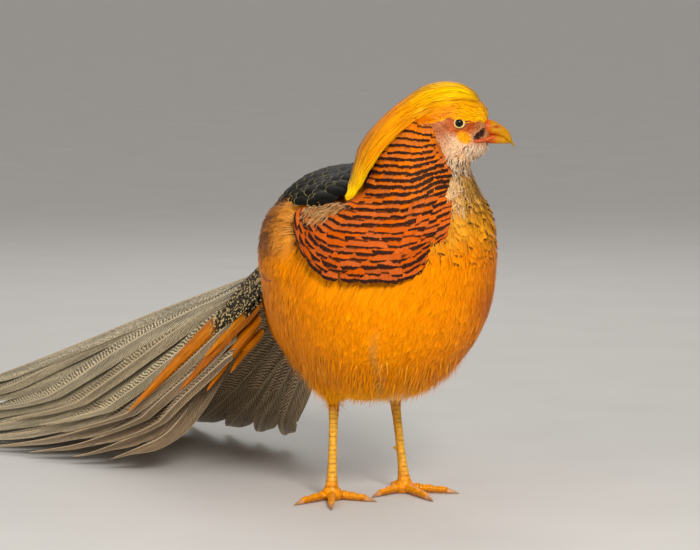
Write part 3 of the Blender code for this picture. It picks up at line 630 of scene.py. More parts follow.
# ------------------------------------------------------------- body feathers
COVER = Surface(joined_mesh(("crest", "wing_right", "wing_left")))
CAPE_SOLID = Surface(joined_mesh(("cape",)))


def cape_hem(ang):
    front = 26.0 * smoothstep((ang + 14.0) / 42.0)
    back = 88.0 * smoothstep((-ang - 44.0) / 76.0)
    return 184.0 + front + back


def cape_place(p):
    """Angle round the neck and share of the way from the cape's top to its hem."""
    z = p[:, 2]
    across = 37.0 + 3.0 * smoothstep((240.0 - z) / 60.0)
    depth = -52.0 + 12.0 * smoothstep((250.0 - z) / 70.0)
    d = p[:, :2] - (HF[None, :2] * across[:, None] - HR[None, :2] * depth[:, None])
    ang = np.degrees(np.arctan2(d @ HF[:2], d @ HR[:2]))
    ang = np.where(ang > 60.0, ang - 360.0, ang)
    top = 303.0 - 4.0 * smoothstep((ang + 20.0) / 40.0)
    return ang, (top - z) / (top - cape_hem(ang))


def cape_shows(ang, v, z):
    """The part of the cape that isn't under the mantle, swung open at the bird's right."""
    near = 13.0 + 23.0 * smoothstep((v - 0.02) / 0.40) - 12.5 * smoothstep((v - 0.38) / 0.28) + 4.0 * smoothstep((v - 0.80) / 0.2)
    left = (ang > -54.0) | ((ang > -65.0) & (z < 221.0)) | ((ang > -79.0) & (z < 230.0)) | (z > 268.0)
    return (ang < near) & left


def covered(p, n):
    """True where cape, crest or wing lies over the coat."""
    out = np.zeros(len(p), bool)
    cast, cape = COVER.tree.ray_cast, CAPE_SOLID.tree.ray_cast
    ang, v = cape_place(p)
    shows = cape_shows(ang + 5.0, v, p[:, 2])
    black = (p[:, 2] > 240.0) & (p[:, 1] > -64.0) & (p[:, 1] < 12.0) & (np.abs(p[:, 0]) < 66.0) & (ang < -50.0)
    for i, (a, b) in enumerate(zip(p.tolist(), n.tolist())):
        out[i] = black[i] or cast(a, b, 14.0)[0] is not None or (shows[i] and cape(a, b, 14.0)[0] is not None)
    return out


def flow(p):
    """Lie of the coat: away from the bill, down the breast and back to the tail."""
    x, y, z = p[:, 0], p[:, 1], p[:, 2]
    d = unit(p - THROAT)
    back = smoothstep((z - 196.0) / 36.0) * smoothstep((y + 62.0) / 36.0)
    d = mix(d, np.array((0.0, 1.0, -0.18)), back)
    low = smoothstep((150.0 - z) / 60.0)
    d = d + np.stack((-0.10 * np.sign(x + 20.0) * low, 0.30 * low, -0.15 * low), 1)
    rear = smoothstep((y - 62.0) / 26.0)
    d = mix(unit(d), np.broadcast_to(TAIL_DIR - UP * 0.42, d.shape), rear)
    leg = smoothstep((100.0 - z) / 14.0) * (np.abs(y - 8.0) < 34.0)
    d = mix(unit(d), np.broadcast_to(-UP + np.array((0, 0.15, 0)), d.shape), leg * 0.85)
    f, r, u = head_parts(p)
    near = smoothstep((40.0 - np.sqrt(f * f + r * r + (u + 4.0) ** 2)) / 14.0)
    face = unit(p - head_point(27.0, 0.0, -8.0)) + np.array((0.0, 0.0, -0.25))
    return unit(mix(unit(d), face, near))


def coat(name, count, length, width, steps, cols, mat, keep, rise, split=1, cup=0.08, size=1.0, sway=0.12,
         profile=(0.35, 0.8, 1.0, 0.85, 0.12), tint_jitter=0.06, ragged=0.0, colour=coat_colour, weight=None,
         surf=None, root_depth=None):
    """Feathers all over the body's skin; keep, length and width are functions
    of the root's place; rise is how far the tips stand from the outer surface."""
    surf = surf or OUTER
    p, n, idx = surf.sample(count, weight)
    ok = keep(p, n)
    p, n = p[ok], n[ok]
    ln = length(p) * rng.uniform(0.82, 1.18, len(p))
    wd = width(p) * rng.uniform(0.85, 1.15, len(p))
    c, nn, first = drape(surf, p, flow, ln, steps, sway)
    if surf is not OUTER:
        first = OUTER.nearest(p)[2]
    depth = coat_depth(p) if root_depth is None else np.full(len(p), root_depth)
    t = np.linspace(0.0, 1.0, steps + 1)
    top = rise(p) + rng.normal(0.0, 0.25, len(p)) * size
    off = -(depth * 0.96)[:, None] * (1.0 - t[None, :]) ** 1.4 + (top[:, None]) * t[None, :] ** 1.6
    c = c + nn * off[..., None]
    half = 0.5 * wd[:, None] * np.interp(t, np.linspace(0, 1, len(profile)), profile)[None, :]
    v, q, a = vanes(c, nn, half, cols, cup, ragged)
    tint = colour(c[:, int(round(steps * 0.6))])
    tint = tint * (1.0 + rng.normal(0.0, tint_jitter, (len(p), 1)))
    a["tint"] = np.clip(spread(tint, steps + 1, cols), 0.0, 1.0)
    uv = patch_uv(root_uv(first), a, steps + 1, cols, 0.003)
    return build(name, v, q, mat, attrs=a, uv=uv)


# root and tip set the painted shade at each feather's root and the painted light at its tip
plume = plume_material("plume", 0.50, root=0.80, tip=1.04, streak=0.16, spec=0.12)
barbs = plume_material("hairlike_barbs", 0.42, root=0.82, tip=1.10, streak=0.12, spec=0.18, fade=0.5)
fluff = plume_material("face_plume", 0.62, root=0.62, tip=1.10, streak=0.10, spec=0.15, gleam=(1.0, 0.85, 0.7, 1.0))
silk = plume_material("golden_head_plume", 0.36, root=0.72, tip=1.08, streak=0.12, spec=0.25, gleam=(1.0, 0.78, 0.18, 1.0))


def on_head(p):
    f, r, u = head_parts(p)
    return smoothstep((40.0 - np.sqrt(f * f + r * r + (u + 4.0) ** 2)) / 10.0)


def keep_body(p, n):
    ok = on_head(p) < 0.35
    return ok & ~covered(p, n)


def keep_breast(p, n):
    return keep_body(p, n) & (p[:, 1] < -10.0)


def keep_rear(p, n):
    return keep_body(p, n) & (p[:, 1] >= -10.0)


def body_len(p):
    return 24.0 - 8.0 * smoothstep((p[:, 2] - 235.0) / 30.0) + 2.0 * smoothstep((p[:, 1] - 40.0) / 40.0)


def clumps(p):
    """Soft unevenness of the coat, so that it lies in loose locks."""
    x, y, z = p[:, 0], p[:, 1], p[:, 2]
    return np.sin(x * 0.23 + 2.0 * np.sin(z * 0.05)) * np.sin(y * 0.19 + 1.7 * np.sin(x * 0.06)) * 0.5 \
        + 0.5 * np.sin(x * 0.47 + z * 0.08 + 2.0 * np.sin(y * 0.11))


def body_rise(p):
    low = smoothstep((112.0 - p[:, 2]) / 20.0)
    chest = smoothstep((p[:, 2] - 208.0) / 16.0) * smoothstep((-p[:, 1] - 60.0) / 16.0) \
        * (1.0 - smoothstep((p[:, 2] - 262.0) / 10.0))
    return -0.5 + 0.7 * clumps(p) + 1.8 * low + 1.3 * chest


for nm, keep, cnt in (("feathers_breast", keep_breast, 10500), ("feathers_flank_back", keep_rear, 10500)):
    coat(nm, cnt, body_len, lambda p: 6.4 - 1.6 * smoothstep((p[:, 2] - 235.0) / 30.0), 5, 3, plume,
         keep, lambda p: body_rise(p) - 0.45 * smoothstep((p[:, 2] - 180.0) / 20.0) * smoothstep((-p[:, 1] - 45.0) / 15.0), cup=0.10, tint_jitter=0.03)
for nm, keep, cnt in (("barbs_breast", keep_breast, 60000), ("barbs_flank_back", keep_rear, 52000)):
    coat(nm, cnt, lambda p: body_len(p) * 1.0, lambda p: np.full(len(p), 0.95), 4, 2, barbs, keep,
         lambda p: body_rise(p) + 0.5, cup=0.0, sway=0.13, tint_jitter=0.07, profile=(0.7, 1.0, 0.9, 0.6, 0.1))


# dark scallops scattered on the buff upper breast
def keep_scallop(p, n):
    x, y, z = p[:, 0], p[:, 1], p[:, 2]
    ok = (y < -62.0) & (z > 210.0) & (z < 258.0) & (x > -16.0)
    return ok & ~covered(p, n)


def scallop_material():
    g = Nodes("scalloped_plume", 0.48, Specular_IOR_Level=0.2, Specular_Tint=(1.0, 0.7, 0.3, 1.0))
    fv = g.attr("fv", "Vector")
    barb = g.noise(g.vmul(fv, (2.4, 0.12, 1.0)), 1.0, 3.0, 0.6)
    jag = g.math('ADD', g.attr("tip"), g.math('MULTIPLY', g.math('SUBTRACT', barb, 0.5), 2.0))
    bar = g.math('MULTIPLY', g.span(jag, 0.1, 0.5), g.math('SUBTRACT', 1.0, g.span(jag, 1.4, 2.0)))
    bar = g.math('MULTIPLY', bar, g.attr("marked"))
    # painted shade: darker towards each feather's root, where it lies under others
    level = g.math('MULTIPLY', g.span(barb, 0.3, 0.7, 0.82, 1.16), g.span(g.attr("u"), 0.0, 0.6, 0.7, 1.0))
    base = g.shade(g.attr("tint", "Color"), level)
    g.bump(barb, 0.4, 0.0003)
    return g.colour(g.blend(bar, base, srgb(48, 34, 22)))


def scallops():
    p, n, idx = OUTER.sample(9000)
    ok = keep_scallop(p, n)
    p = p[ok][:110]
    k, cols = 8, 7
    ln = rng.uniform(15.0, 20.0, len(p))
    c, nn, first = drape(OUTER, p, flow, ln, k - 1, 0.25)
    t = np.linspace(0, 1, k)
    top = body_rise(p) + rng.uniform(0.25, 0.75, len(p))
    off = -4.0 * (1 - t[None]) ** 1.3 + top[:, None] * t[None] ** 1.2
    c = c + nn * off[..., None]
    prof = np.interp(t, (0, 0.3, 0.75, 0.92, 1.0), (0.4, 0.8, 1.0, 0.8, 0.25))
    half = rng.uniform(3.8, 5.4, len(p))[:, None] * prof[None]
    v, q, a = vanes(c, nn, half, cols, 0.20, 0.4)
    a["tint"] = np.clip(spread(coat_colour(c[:, -2]) * rng.uniform(0.85, 1.15, (len(p), 1)), k, cols), 0, 1)
    side = smoothstep((p[:, 0] - 20.0) / 12.0) + smoothstep((232.0 - p[:, 2]) / 8.0)
    a["marked"] = spread((rng.random(len(p)) < 0.55) * np.clip(side, 0.0, 1.0), k, cols)
    build("scallops_upper_breast", v, q, scallop_material(), attrs=a, uv=atlas_uv(len(p), a, k, cols))


scallops()


# long loose tufts at the lower edge of the belly, over the thighs and knees
def keep_fringe(p, n):
    z = p[:, 2]
    return (z < 128.0) & (z > 76.0) & (p[:, 1] < 60.0) & (n[:, 2] > -0.9)


def fringe_flow(p):
    x, y, z = p[:, 0], p[:, 1], p[:, 2]
    near = np.where(x[:, None] > 3.0, HOCK["left"][None], HOCK["right"][None])
    d = unit(near - p + np.array((0.0, 0.0, -14.0)))
    return unit(0.55 * d + np.array((0.0, 0.25, -0.9)))


HOCK = {"right": np.array((-24.0, 13.0, 80.0)), "left": np.array((32.0, 13.0, 80.0))}


def fringe():
    p, n, idx = OUTER.sample(30000)
    z = p[:, 2]
    ok = (z < 126.0) & (z > 78.0) & (p[:, 1] < 58.0) & (rng.random(len(p)) < 0.30 + 0.7 * smoothstep((122.0 - z) / 22.0))
    p, n = p[ok][:8000], n[ok][:8000]
    k = 6
    ln = rng.uniform(14.0, 27.0, len(p)) * (0.86 + 0.14 * smoothstep((p[:, 2] - 84.0) / 20.0))
    loose = rng.random(len(p)) < 0.16
    c, nn, first = drape(OUTER, p, fringe_flow, ln * 0.62, k - 2, 0.20)
    # the last part leaves the body and hangs free
    last = unit(unit(c[:, -1] - c[:, -2]) + np.array((0.0, 0.0, -0.35)) + nn[:, -1] * np.where(loose, 0.45, 0.14)[:, None])
    tipp = c[:, -1] + last * (ln * np.where(loose, 0.55, 0.38))[:, None]
    c = np.concatenate((c, tipp[:, None]), 1)
    nn = np.concatenate((nn, nn[:, -1:]), 1)
    t = np.linspace(0, 1, k)
    off = -3.0 * (1.0 - t) ** 1.3 + 1.3 * t
    c = c + nn * (off[None] + rng.uniform(-0.6, 0.8, len(p))[:, None] * t[None])[..., None]
    ok = c[:, -1, 2] > 60.0
    c, nn, first, p = c[ok], nn[ok], first[ok], p[ok]
    half = rng.uniform(0.38, 0.85, len(p))[:, None] * np.array((0.6, 1.0, 1.0, 0.8, 0.5, 0.08))[None]
    v, q, a = vanes(c, nn, half, 2, 0.0)
    tint = coat_colour(c[:, 3]) * rng.uniform(0.82, 1.15, (len(p), 1))
    pale = (rng.random(len(p)) < 0.12)[:, None]
    tint = np.where(pale, tint * 0.6 + srgb(250, 200, 70) * 0.4, tint)
    a["tint"] = np.clip(spread(tint, k, 2), 0, 1)
    build("belly_fringe", v, q, barbs, attrs=a, uv=patch_uv(root_uv(first), a, k, 2, 0.003))


fringe()


# face: bare round the eye, tiny curly feathers elsewhere
def keep_face(p, n):
    f, r, u = head_parts(p)
    ok = on_head(p) > 0.2
    ok &= ((f - 0.5) / 10.0) ** 2 + ((u - 0.2) / 7.0) ** 2 > 1.0
    ok &= ~((f > 22.0) & (u < 3.0) & (u > -17.0))
    ok &= u < golden_edge(f) + 1.5
    return ok & ~covered(p, n)


HEADED = np.where(on_head(OUTER.v[OUTER.f[:, 0]]) > 0.1, 1.0, 0.0)


def face_len(p):
    f, r, u = head_parts(p)
    return 4.4 + 2.2 * smoothstep((-14.0 - u) / 12.0) + 3.0 * (1.0 - head_share(p)) - 1.4 * smoothstep((f - 6.0) / 10.0)


coat("feathers_face", 17000, face_len, lambda p: np.full(len(p), 1.15), 3, 2, fluff, keep_face,
     lambda p: 0.35 + 0.5 * rng.random(len(p)), cup=0.0, sway=0.5, size=0.6, tint_jitter=0.20,
     profile=(0.6, 1.0, 0.75, 0.12), weight=HEADED)


# golden silk of the forehead and temples, swept back under the crest
def keep_temple(p, n):
    f, r, u = head_parts(p)
    return (on_head(p) > 0.0) & (u > golden_edge(f) + 0.4) & (f > -58.0) & (f < 30.0)


def temple():
    p, n, idx = OUTER.sample(52000, HEADED)
    ok = keep_temple(p, n)
    p, n = p[ok][:9500], n[ok][:9500]
    f, r, u = head_parts(p)

    def lie(q):
        a, b, h = head_parts(q)
        up = 0.55 * smoothstep((a - 10.0) / 14.0) - 0.22 * smoothstep((-2.0 - a) / 8.0) - 0.30 * smoothstep((-20.0 - a) / 16.0)
        return unit(-HF[None] + UP[None] * up[:, None])
    k = 6
    ln = rng.uniform(9.0, 17.0, len(p))
    ln = np.where(f > 16.0, ln * 0.7, ln)
    c, nn, first = drape(OUTER, p, lie, ln, k - 1, 0.07)
    above = smoothstep((u - golden_edge(f)) / 7.0)
    t = np.linspace(0, 1, k)
    top = 0.45 + 1.9 * above * rng.uniform(0.3, 1.0, len(p))
    off = -1.0 * (1.0 - t[None]) ** 1.4 + top[:, None] * t[None] ** 0.8
    c = c + nn * off[..., None]
    half = rng.uniform(0.34, 0.6, len(p))[:, None] * np.array((0.7, 1.0, 1.0, 0.9, 0.6, 0.12))[None]
    v, q, a = vanes(c, nn, half, 2, 0.0)
    tint = mix(srgb(250, 168, 0), srgb(244, 140, 0), smoothstep((-6.0 - f) / 20.0))
    tint = mix(tint, srgb(255, 186, 4), smoothstep((f - 12.0) / 10.0) * 0.7)
    # painted shade: deeper orange on the lower part of the golden temple, behind the eye
    behind = smoothstep((12.0 - f) / 10.0) * (1.0 - smoothstep((u - golden_edge(f) - 3.0) / 9.0))
    tint = mix(tint, srgb(226, 110, 0), behind * 0.75)
    tint = tint * rng.uniform(0.74, 1.15, (len(p), 1))
    tint = np.where((rng.random(len(p)) < 0.09)[:, None], tint * 0.6, tint)
    a["tint"] = np.clip(spread(tint, k, 2), 0, 1)
    build("golden_temples", v, q, silk, attrs=a, uv=patch_uv(root_uv(first), a, k, 2, 0.003))


temple()


# chin and throat: bristly tufts that stand off the skin
def beard():
    p, n, idx = OUTER.sample(60000, HEADED)
    f, r, u = head_parts(p)
    chin = (f > 6.0) & (f < 30.0) & (u < -15.0 - 0.05 * f) & (u > -26.0)
    throat = (f > -14.0) & (f <= 8.0) & (u < -24.0) & (u > -37.0)
    lores = (((f - 16.0) / 4.6) ** 2 + ((u + 8.0 - 0.75 * (f - 16.0)) / 1.9) ** 2 < rng.uniform(0.3, 1.3, len(f)))
    pick = np.where(chin, 0, np.where(throat, 1, np.where(lores, 2, 3)))
    order = []
    for kind, cnt in ((0, 900), (1, 620), (2, 150)):
        order.append(np.nonzero(pick == kind)[0][:cnt])
    sel = np.concatenate(order)
    p, n, kind = p[sel], n[sel], pick[sel]
    f, r, u = head_parts(p)

    def lie(q):
        a, b, h = head_parts(q)
        return unit(-HF[None] * 0.35 - UP[None] * 0.9 + rng.normal(0.0, 0.28, q.shape))
    k = 5
    ln = np.where(kind == 0, rng.uniform(4.0, 8.0, len(p)), np.where(kind == 1, rng.uniform(5.0, 9.0, len(p)), rng.uniform(2.5, 4.2, len(p))))
    c, nn, first = drape(OUTER, p, lie, ln * 0.7, k - 2, 0.3)
    last = unit(c[:, -1] - c[:, -2] + nn[:, -1] * 0.5 - UP * 0.3)
    last = np.where((kind == 2)[:, None], unit(HF * 0.6 + nn[:, -1] * 0.6 + rng.normal(0, 0.3, last.shape)), last)
    c = np.concatenate((c, (c[:, -1] + last * (ln * 0.4)[:, None])[:, None]), 1)
    nn = np.concatenate((nn, nn[:, -1:]), 1)
    t = np.linspace(0, 1, k)
    off = -0.6 * (1 - t) + 1.5 * t
    c = c + nn * (off[None] * rng.uniform(0.4, 1.2, len(p))[:, None])[..., None]
    half = rng.uniform(0.30, 0.55, len(p))[:, None] * np.array((0.8, 1.0, 0.9, 0.6, 0.1))[None]
    v, q, a = vanes(c, nn, half, 2, 0.0)
    mixr = rng.random(len(p))[:, None]
    tint = np.where(mixr < 0.30, srgb(150, 106, 78), srgb(232, 204, 172))
    tint = np.where((kind == 1)[:, None] & (mixr < 0.35), srgb(44, 32, 26), tint)
    tint = np.where((kind == 2)[:, None], np.where(mixr < 0.8, srgb(58, 34, 28), srgb(120, 60, 36)), tint)
    tint = tint * rng.uniform(0.8, 1.15, (len(p), 1))
    a["tint"] = np.clip(spread(tint, k, 2), 0, 1)
    build("chin_bristles", v, q, fluff, attrs=a, uv=patch_uv(root_uv(first), a, k, 2, 0.003))


beard()


# pale curls where the throat meets the cape
def neck_curls():
    p, n, idx = OUTER.sample(26000)
    x, y, z = p[:, 0], p[:, 1], p[:, 2]
    ok = (y < -60.0) & (z > 246.0) & (z < 278.0) & (x > -12.0) & (x < 52.0)
    p, n = p[ok][:1500], n[ok][:1500]
    k = 7
    ln = rng.uniform(14.0, 26.0, len(p))
    c, nn, first = drape(OUTER, p, flow, ln, k - 1, 0.5)
    t = np.linspace(0, 1, k)
    wave = np.sin(t[None] * rng.uniform(4.0, 8.0, len(p))[:, None] + rng.uniform(0, 6.0, len(p))[:, None])
    top = body_rise(p) + rng.uniform(0.4, 1.5, len(p))
    off = -3.0 * (1 - t[None]) ** 1.5 + top[:, None] * t[None] + 0.5 * wave * t[None]
    side = unit(np.cross(nn, np.gradient(c, axis=1)))
    c = c + nn * off[..., None] + side * (wave * 0.8 * t[None])[..., None]
    half = rng.uniform(0.3, 0.6, len(p))[:, None] * np.array((0.7, 1.0, 1.0, 1.0, 0.8, 0.5, 0.1))[None]
    v, q, a = vanes(c, nn, half, 2, 0.0)
    mixr = rng.random(len(p))[:, None]
    tint = np.where(mixr < 0.5, srgb(228, 200, 160), np.where(mixr < 0.8, srgb(206, 154, 74), srgb(130, 90, 50)))
    olive = smoothstep((x[ok][:1500] - 26.0) / 14.0)
    tint = mix(tint, np.where(mixr < 0.6, srgb(200, 150, 30), srgb(120, 92, 30)), olive)
    a["tint"] = np.clip(spread(tint * rng.uniform(0.85, 1.1, (len(p), 1)), k, 2), 0, 1)
    build("throat_curls", v, q, fluff, attrs=a, uv=patch_uv(root_uv(first), a, k, 2, 0.003))


neck_curls()


# --------------------------------------------------- surfaces given by rays
class Sheet:
    """Outer side of a solid, as a smooth grid over two parameters."""

    def __init__(self, names, ray, nu, nv, smooth=2, reach=190.0):
        tree = Surface(joined_mesh(names)).tree
        us, vs = np.linspace(0, 1, nu), np.linspace(0, 1, nv)
        self.nu, self.nv = nu, nv
        org = np.zeros((nu, nv, 3))
        dirs = np.zeros((nu, nv, 3))
        dist = np.full((nu, nv), np.nan)
        for i, u in enumerate(us):
            for j, v in enumerate(vs):
                o, d = ray(u, v)
                d = unit(d)
                org[i, j], dirs[i, j] = o, d
                hit = tree.ray_cast(tuple(o + d * reach), tuple(-d), reach)[0]
                if hit is not None:
                    dist[i, j] = float((np.array(hit) - o) @ d)
        for _ in range(max(nu, nv)):
            bad = np.isnan(dist)
            if not bad.any():
                break
            pad = np.pad(dist, 1, constant_values=np.nan)
            near = np.stack((pad[:-2, 1:-1], pad[2:, 1:-1], pad[1:-1, :-2], pad[1:-1, 2:]))
            cnt = (~np.isnan(near)).sum(0)
            fill = np.where(cnt > 0, np.nansum(near, 0) / np.maximum(cnt, 1), np.nan)
            dist = np.where(bad, fill, dist)
        for _ in range(smooth):
            pad = np.pad(dist, 1, mode="edge")
            dist = (pad[:-2, 1:-1] + pad[2:, 1:-1] + pad[1:-1, :-2] + pad[1:-1, 2:] + 4 * dist) / 8.0
        self.p = org + dirs * dist[..., None]
        du = np.gradient(self.p, axis=0)
        dv = np.gradient(self.p, axis=1)
        n = unit(np.cross(du, dv))
        sign = np.sign((n * dirs).sum(-1, keepdims=True))
        sign[sign == 0] = 1.0
        self.n = n * sign

    def at(self, u, v):
        """Places and normals, bilinear."""
        x = np.clip(u, 0, 1) * (self.nu - 1)
        y = np.clip(v, 0, 1) * (self.nv - 1)
        i = np.minimum(x.astype(int), self.nu - 2)
        j = np.minimum(y.astype(int), self.nv - 2)
        fx, fy = (x - i)[..., None], (y - j)[..., None]

        def get(g):
            return (g[i, j] * (1 - fx) * (1 - fy) + g[i + 1, j] * fx * (1 - fy)
                    + g[i, j + 1] * (1 - fx) * fy + g[i + 1, j + 1] * fx * fy)
        return get(self.p), unit(get(self.n))


def view_point(across, depth, z):
    p = HF * across - HR * depth
    return np.array((p[0], p[1], z))


# --------------------------------------------------------------------- cape
def cape_angle(u, v):
    near = 36.0 - 20.0 * smoothstep((v - 0.42) / 0.5)
    return near + (-200.0 - near) * u


def cape_ray(u, v):
    ang = cape_angle(u, v)
    top = 303.0 - 4.0 * smoothstep((ang + 20.0) / 40.0)
    z = top + (cape_hem(ang) - top) * v
    a = math.radians(ang)
    axis = view_point(37.0 + 3.0 * smoothstep((240.0 - z) / 60.0), -52.0 + 12.0 * smoothstep((250.0 - z) / 70.0), z)
    return axis, HR * math.cos(a) + HF * math.sin(a)


CAPE = Sheet(("cape",), cape_ray, 96, 48, 3)


def cape_material():
    g = Nodes("barred_cape", 0.42, Specular_IOR_Level=0.06, Specular_Tint=(1.0, 0.7, 0.35, 1.0))
    fv = g.attr("fv", "Vector")
    barb = g.noise(g.vmul(fv, (2.6, 0.12, 1.0)), 1.0, 3.0, 0.6)
    wide = g.noise(g.vmul(fv, (0.5, 0.2, 1.0)), 1.0, 2.0, 0.5)
    tip = g.attr("tip")
    jag = g.math('ADD', tip, g.math('MULTIPLY', g.math('SUBTRACT', barb, 0.5), 1.7))
    jag = g.math('ADD', jag, g.math('MULTIPLY', g.math('SUBTRACT', wide, 0.5), 1.5))
    thick = g.attr("bar")
    a = g.span(jag, -0.2, 0.25)
    b = g.math('SUBTRACT', 1.0, g.span(g.math('SUBTRACT', jag, thick), -0.15, 0.25))
    first = g.math('MULTIPLY', a, b)
    jag2 = g.math('SUBTRACT', jag, g.attr("gap"))
    second = g.math('MULTIPLY', g.span(jag2, -0.1, 0.3), g.math('SUBTRACT', 1.0, g.span(jag2, 1.7, 2.2)))
    second = g.math('MULTIPLY', second, 0.85)
    dark = g.math('MAXIMUM', first, second)
    dark = g.math('MULTIPLY', dark, g.span(barb, 0.25, 0.40, 0.55, 1.0))
    tint = g.attr("tint", "Color")
    # painted shade: darker towards each feather's root, where it lies under others
    level = g.math('MULTIPLY', g.span(barb, 0.3, 0.7, 0.78, 1.18), g.span(g.attr("u"), 0.2, 0.7, 0.7, 1.0))
    base = g.shade(tint, level)
    black = g.shade(g.blend(wide, srgb(58, 33, 24), srgb(34, 19, 17)), g.span(barb, 0.3, 0.7, 0.7, 1.3))
    g.bump(barb, 0.5, 0.0004)
    return g.colour(g.blend(dark, base, black))


def make_cape():
    rows = 21
    us, vs, lens, widths = [], [], [], []
    for r in range(rows + 1):
        v = (r + 1.0) / (rows + 1.0)
        step = 11.5 - 1.5 * v                   # degrees between feathers
        ang = 37.0 + ((0.0, 0.5, 0.25, 0.75)[r % 4]) * step
        while ang > -96.0:
            us.append(ang + rng.normal(0.0, 0.6))
            vs.append(v + rng.normal(0.0, 0.0028 if r < rows - 1 else 0.009))
            widths.append(step * 1.5)
            lens.append(26.0)
            ang -= step
    for r in range(7):                          # short rows round the nape and left side
        v = (r + 1.0) / 7.0
        ang = -98.0 - (4.0 if r % 2 else 0.0)
        while ang > -199.0:
            us.append(ang + rng.normal(0.0, 0.8))
            vs.append(v + rng.normal(0.0, 0.01))
            widths.append(8.5 * 1.6)
            lens.append(20.0)
            ang -= 8.5
    ang, v = np.array(us), np.clip(np.array(vs), 0.0, 1.0)
    wdeg, ln = np.array(widths), np.array(lens)
    near = 36.0 - 20.0 * smoothstep((v - 0.42) / 0.5)
    u = (near - ang) / (near + 200.0)
    tip_z = 303.0 + (cape_hem(ang) - 303.0) * v
    ok = (u > -0.02) & (u < 1.0) & cape_shows(ang - 1.5, v, tip_z)
    ang, v, wdeg, ln, u = ang[ok], v[ok], wdeg[ok], ln[ok], np.clip(u[ok], 0.002, 0.998)
    # length of the line from the top to the hem at each angle
    grid = np.linspace(0, 1, 40)
    line, _ = CAPE.at(np.repeat(u[:, None], 40, 1), np.repeat(grid[None], len(u), 0))
    total = np.linalg.norm(np.diff(line, axis=1), axis=2).sum(1)
    k, cols = 12, 7
    t = np.linspace(0.0, 1.0, k)
    vtip = v
    vroot = v - ln / total
    vv = vroot[:, None] + (vtip - vroot)[:, None] * t[None]
    uu = np.repeat(u[:, None], k, 1)
    pos, nrm = CAPE.at(uu, np.maximum(vv, 0.0))
    # roots above the cape's top run on straight
    over = np.minimum(vv, 0.0) * total[:, None]
    first = pos[:, -1] - pos[:, 0]
    pos = pos + unit(first)[:, None, :] * over[..., None] * 0.4
    axis = np.linalg.norm(pos[:, -1, :2] - np.array((8.0, -60.0))[None], axis=1)
    half = 0.5 * np.radians(wdeg) * np.clip(axis, 26.0, 95.0)
    half = np.clip(half, 3.2, 8.8)
    prof = np.interp(t, (0.0, 0.3, 0.7, 0.92, 0.97, 1.0), (0.5, 0.85, 1.0, 0.97, 0.88, 0.66))
    off = -3.4 * (1.0 - t) ** 1.2
    off = off[None] + rng.uniform(-0.45, 0.25, len(u))[:, None]
    pos = pos + nrm * off[..., None]
    ahead = unit(pos[:, -1] - pos[:, -3])
    across = unit(np.cross(ahead, nrm[:, -1]))
    row_line = CAPE.at(np.minimum(u + 0.01, 1.0), v)[0] - CAPE.at(np.maximum(u - 0.01, 0.0), v)[0]
    slope = (row_line * ahead).sum(1) / np.where(np.abs((row_line * across).sum(1)) < 0.05, 0.05, (row_line * across).sum(1))
    slope = np.clip(slope, -0.75, 0.75) + rng.normal(0.0, 0.035, len(u))
    vtx, q, a = vanes(pos, nrm, half[:, None] * prof[None], cols, 0.16, 0.3, slant=slope)
    tcol = mix(srgb(214, 104, 0), srgb(200, 84, 0), smoothstep((268.0 - pos[:, -1, 2]) / 60.0))
    tcol = mix(tcol, srgb(220, 114, 0), smoothstep((pos[:, -1, 2] - 278.0) / 14.0))
    # painted sheen: each feather takes up to 40 % of a greyish pink
    tcol = mix(tcol, srgb(170, 96, 60), rng.random(len(u)) * 0.4)
    tcol = tcol * rng.uniform(0.88, 1.12, (len(u), 1))
    a["tint"] = np.clip(spread(tcol, k, cols), 0, 1)
    row = np.round(v * (rows + 1))
    strong = np.where((row % 2 == 0) | (v < 0.6), 3.05, 2.1) * (0.72 + 0.28 * smoothstep((v - 0.1) / 0.3))
    a["bar"] = spread(strong * rng.uniform(0.85, 1.15, len(u)), k, cols)
    a["gap"] = spread(rng.uniform(6.6, 7.6, len(u)), k, cols)
    uv = atlas_uv(len(u), a, k, cols)
    ob = build("cape_feathers", vtx, q, cape_material(), attrs=a, uv=uv)
    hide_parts("cape")
    return ob


make_cape()


# -------------------------------------------------------------------- crest
CREST_SPINE = np.array(((10.0, 2.0, 62.0), (4.0, 4.0, 80.0), (-8.0, 4.0, 95.0), (-20.0, 2.0, 112.0),
                        (-27.0, -6.0, 135.0), (-29.0, -18.0, 154.0), (-30.0, -30.0, 165.0),
                        (-30.0, -42.0, 172.0), (-30.0, -52.0, 176.0), (-30.0, -61.0, 178.0)))
CREST_SPREAD = np.array((34.0, 52.0, 62.0, 66.0, 60.0, 46.0, 36.0, 28.0, 20.0, 10.0))


def crest_ray(u, v):
    f, up, ang = spline(CREST_SPINE, v)
    ang = math.radians(ang)
    out = HF * math.cos(ang) + UP * math.sin(ang)
    twist = math.radians(26.0) * smoothstep((v - 0.4) / 0.5)
    side = math.radians(spline(CREST_SPREAD, v)) * (2.0 * u - 1.0) + twist
    return head_point(f, 0.0, up), out * math.cos(side) + HR * math.sin(side)


CREST = Sheet(("crest",), crest_ray, 48, 64, 3)


def crest_limits(v):
    """Part of the crest's width that the strands take, narrow at its end."""
    vs = (0.0, 0.5, 0.6, 0.7, 0.8, 0.9, 0.95, 1.0)
    return (np.interp(v, vs, (0.0, 0.0, 0.0, 0.03, 0.14, 0.44, 0.54, 0.64)),
            np.interp(v, vs, (1.0, 1.0, 0.95, 0.85, 0.68, 0.63, 0.69, 0.77)))


def crest_at(u, v):
    lo, hi = crest_limits(v)
    return CREST.at(lo + (hi - lo) * u, v)


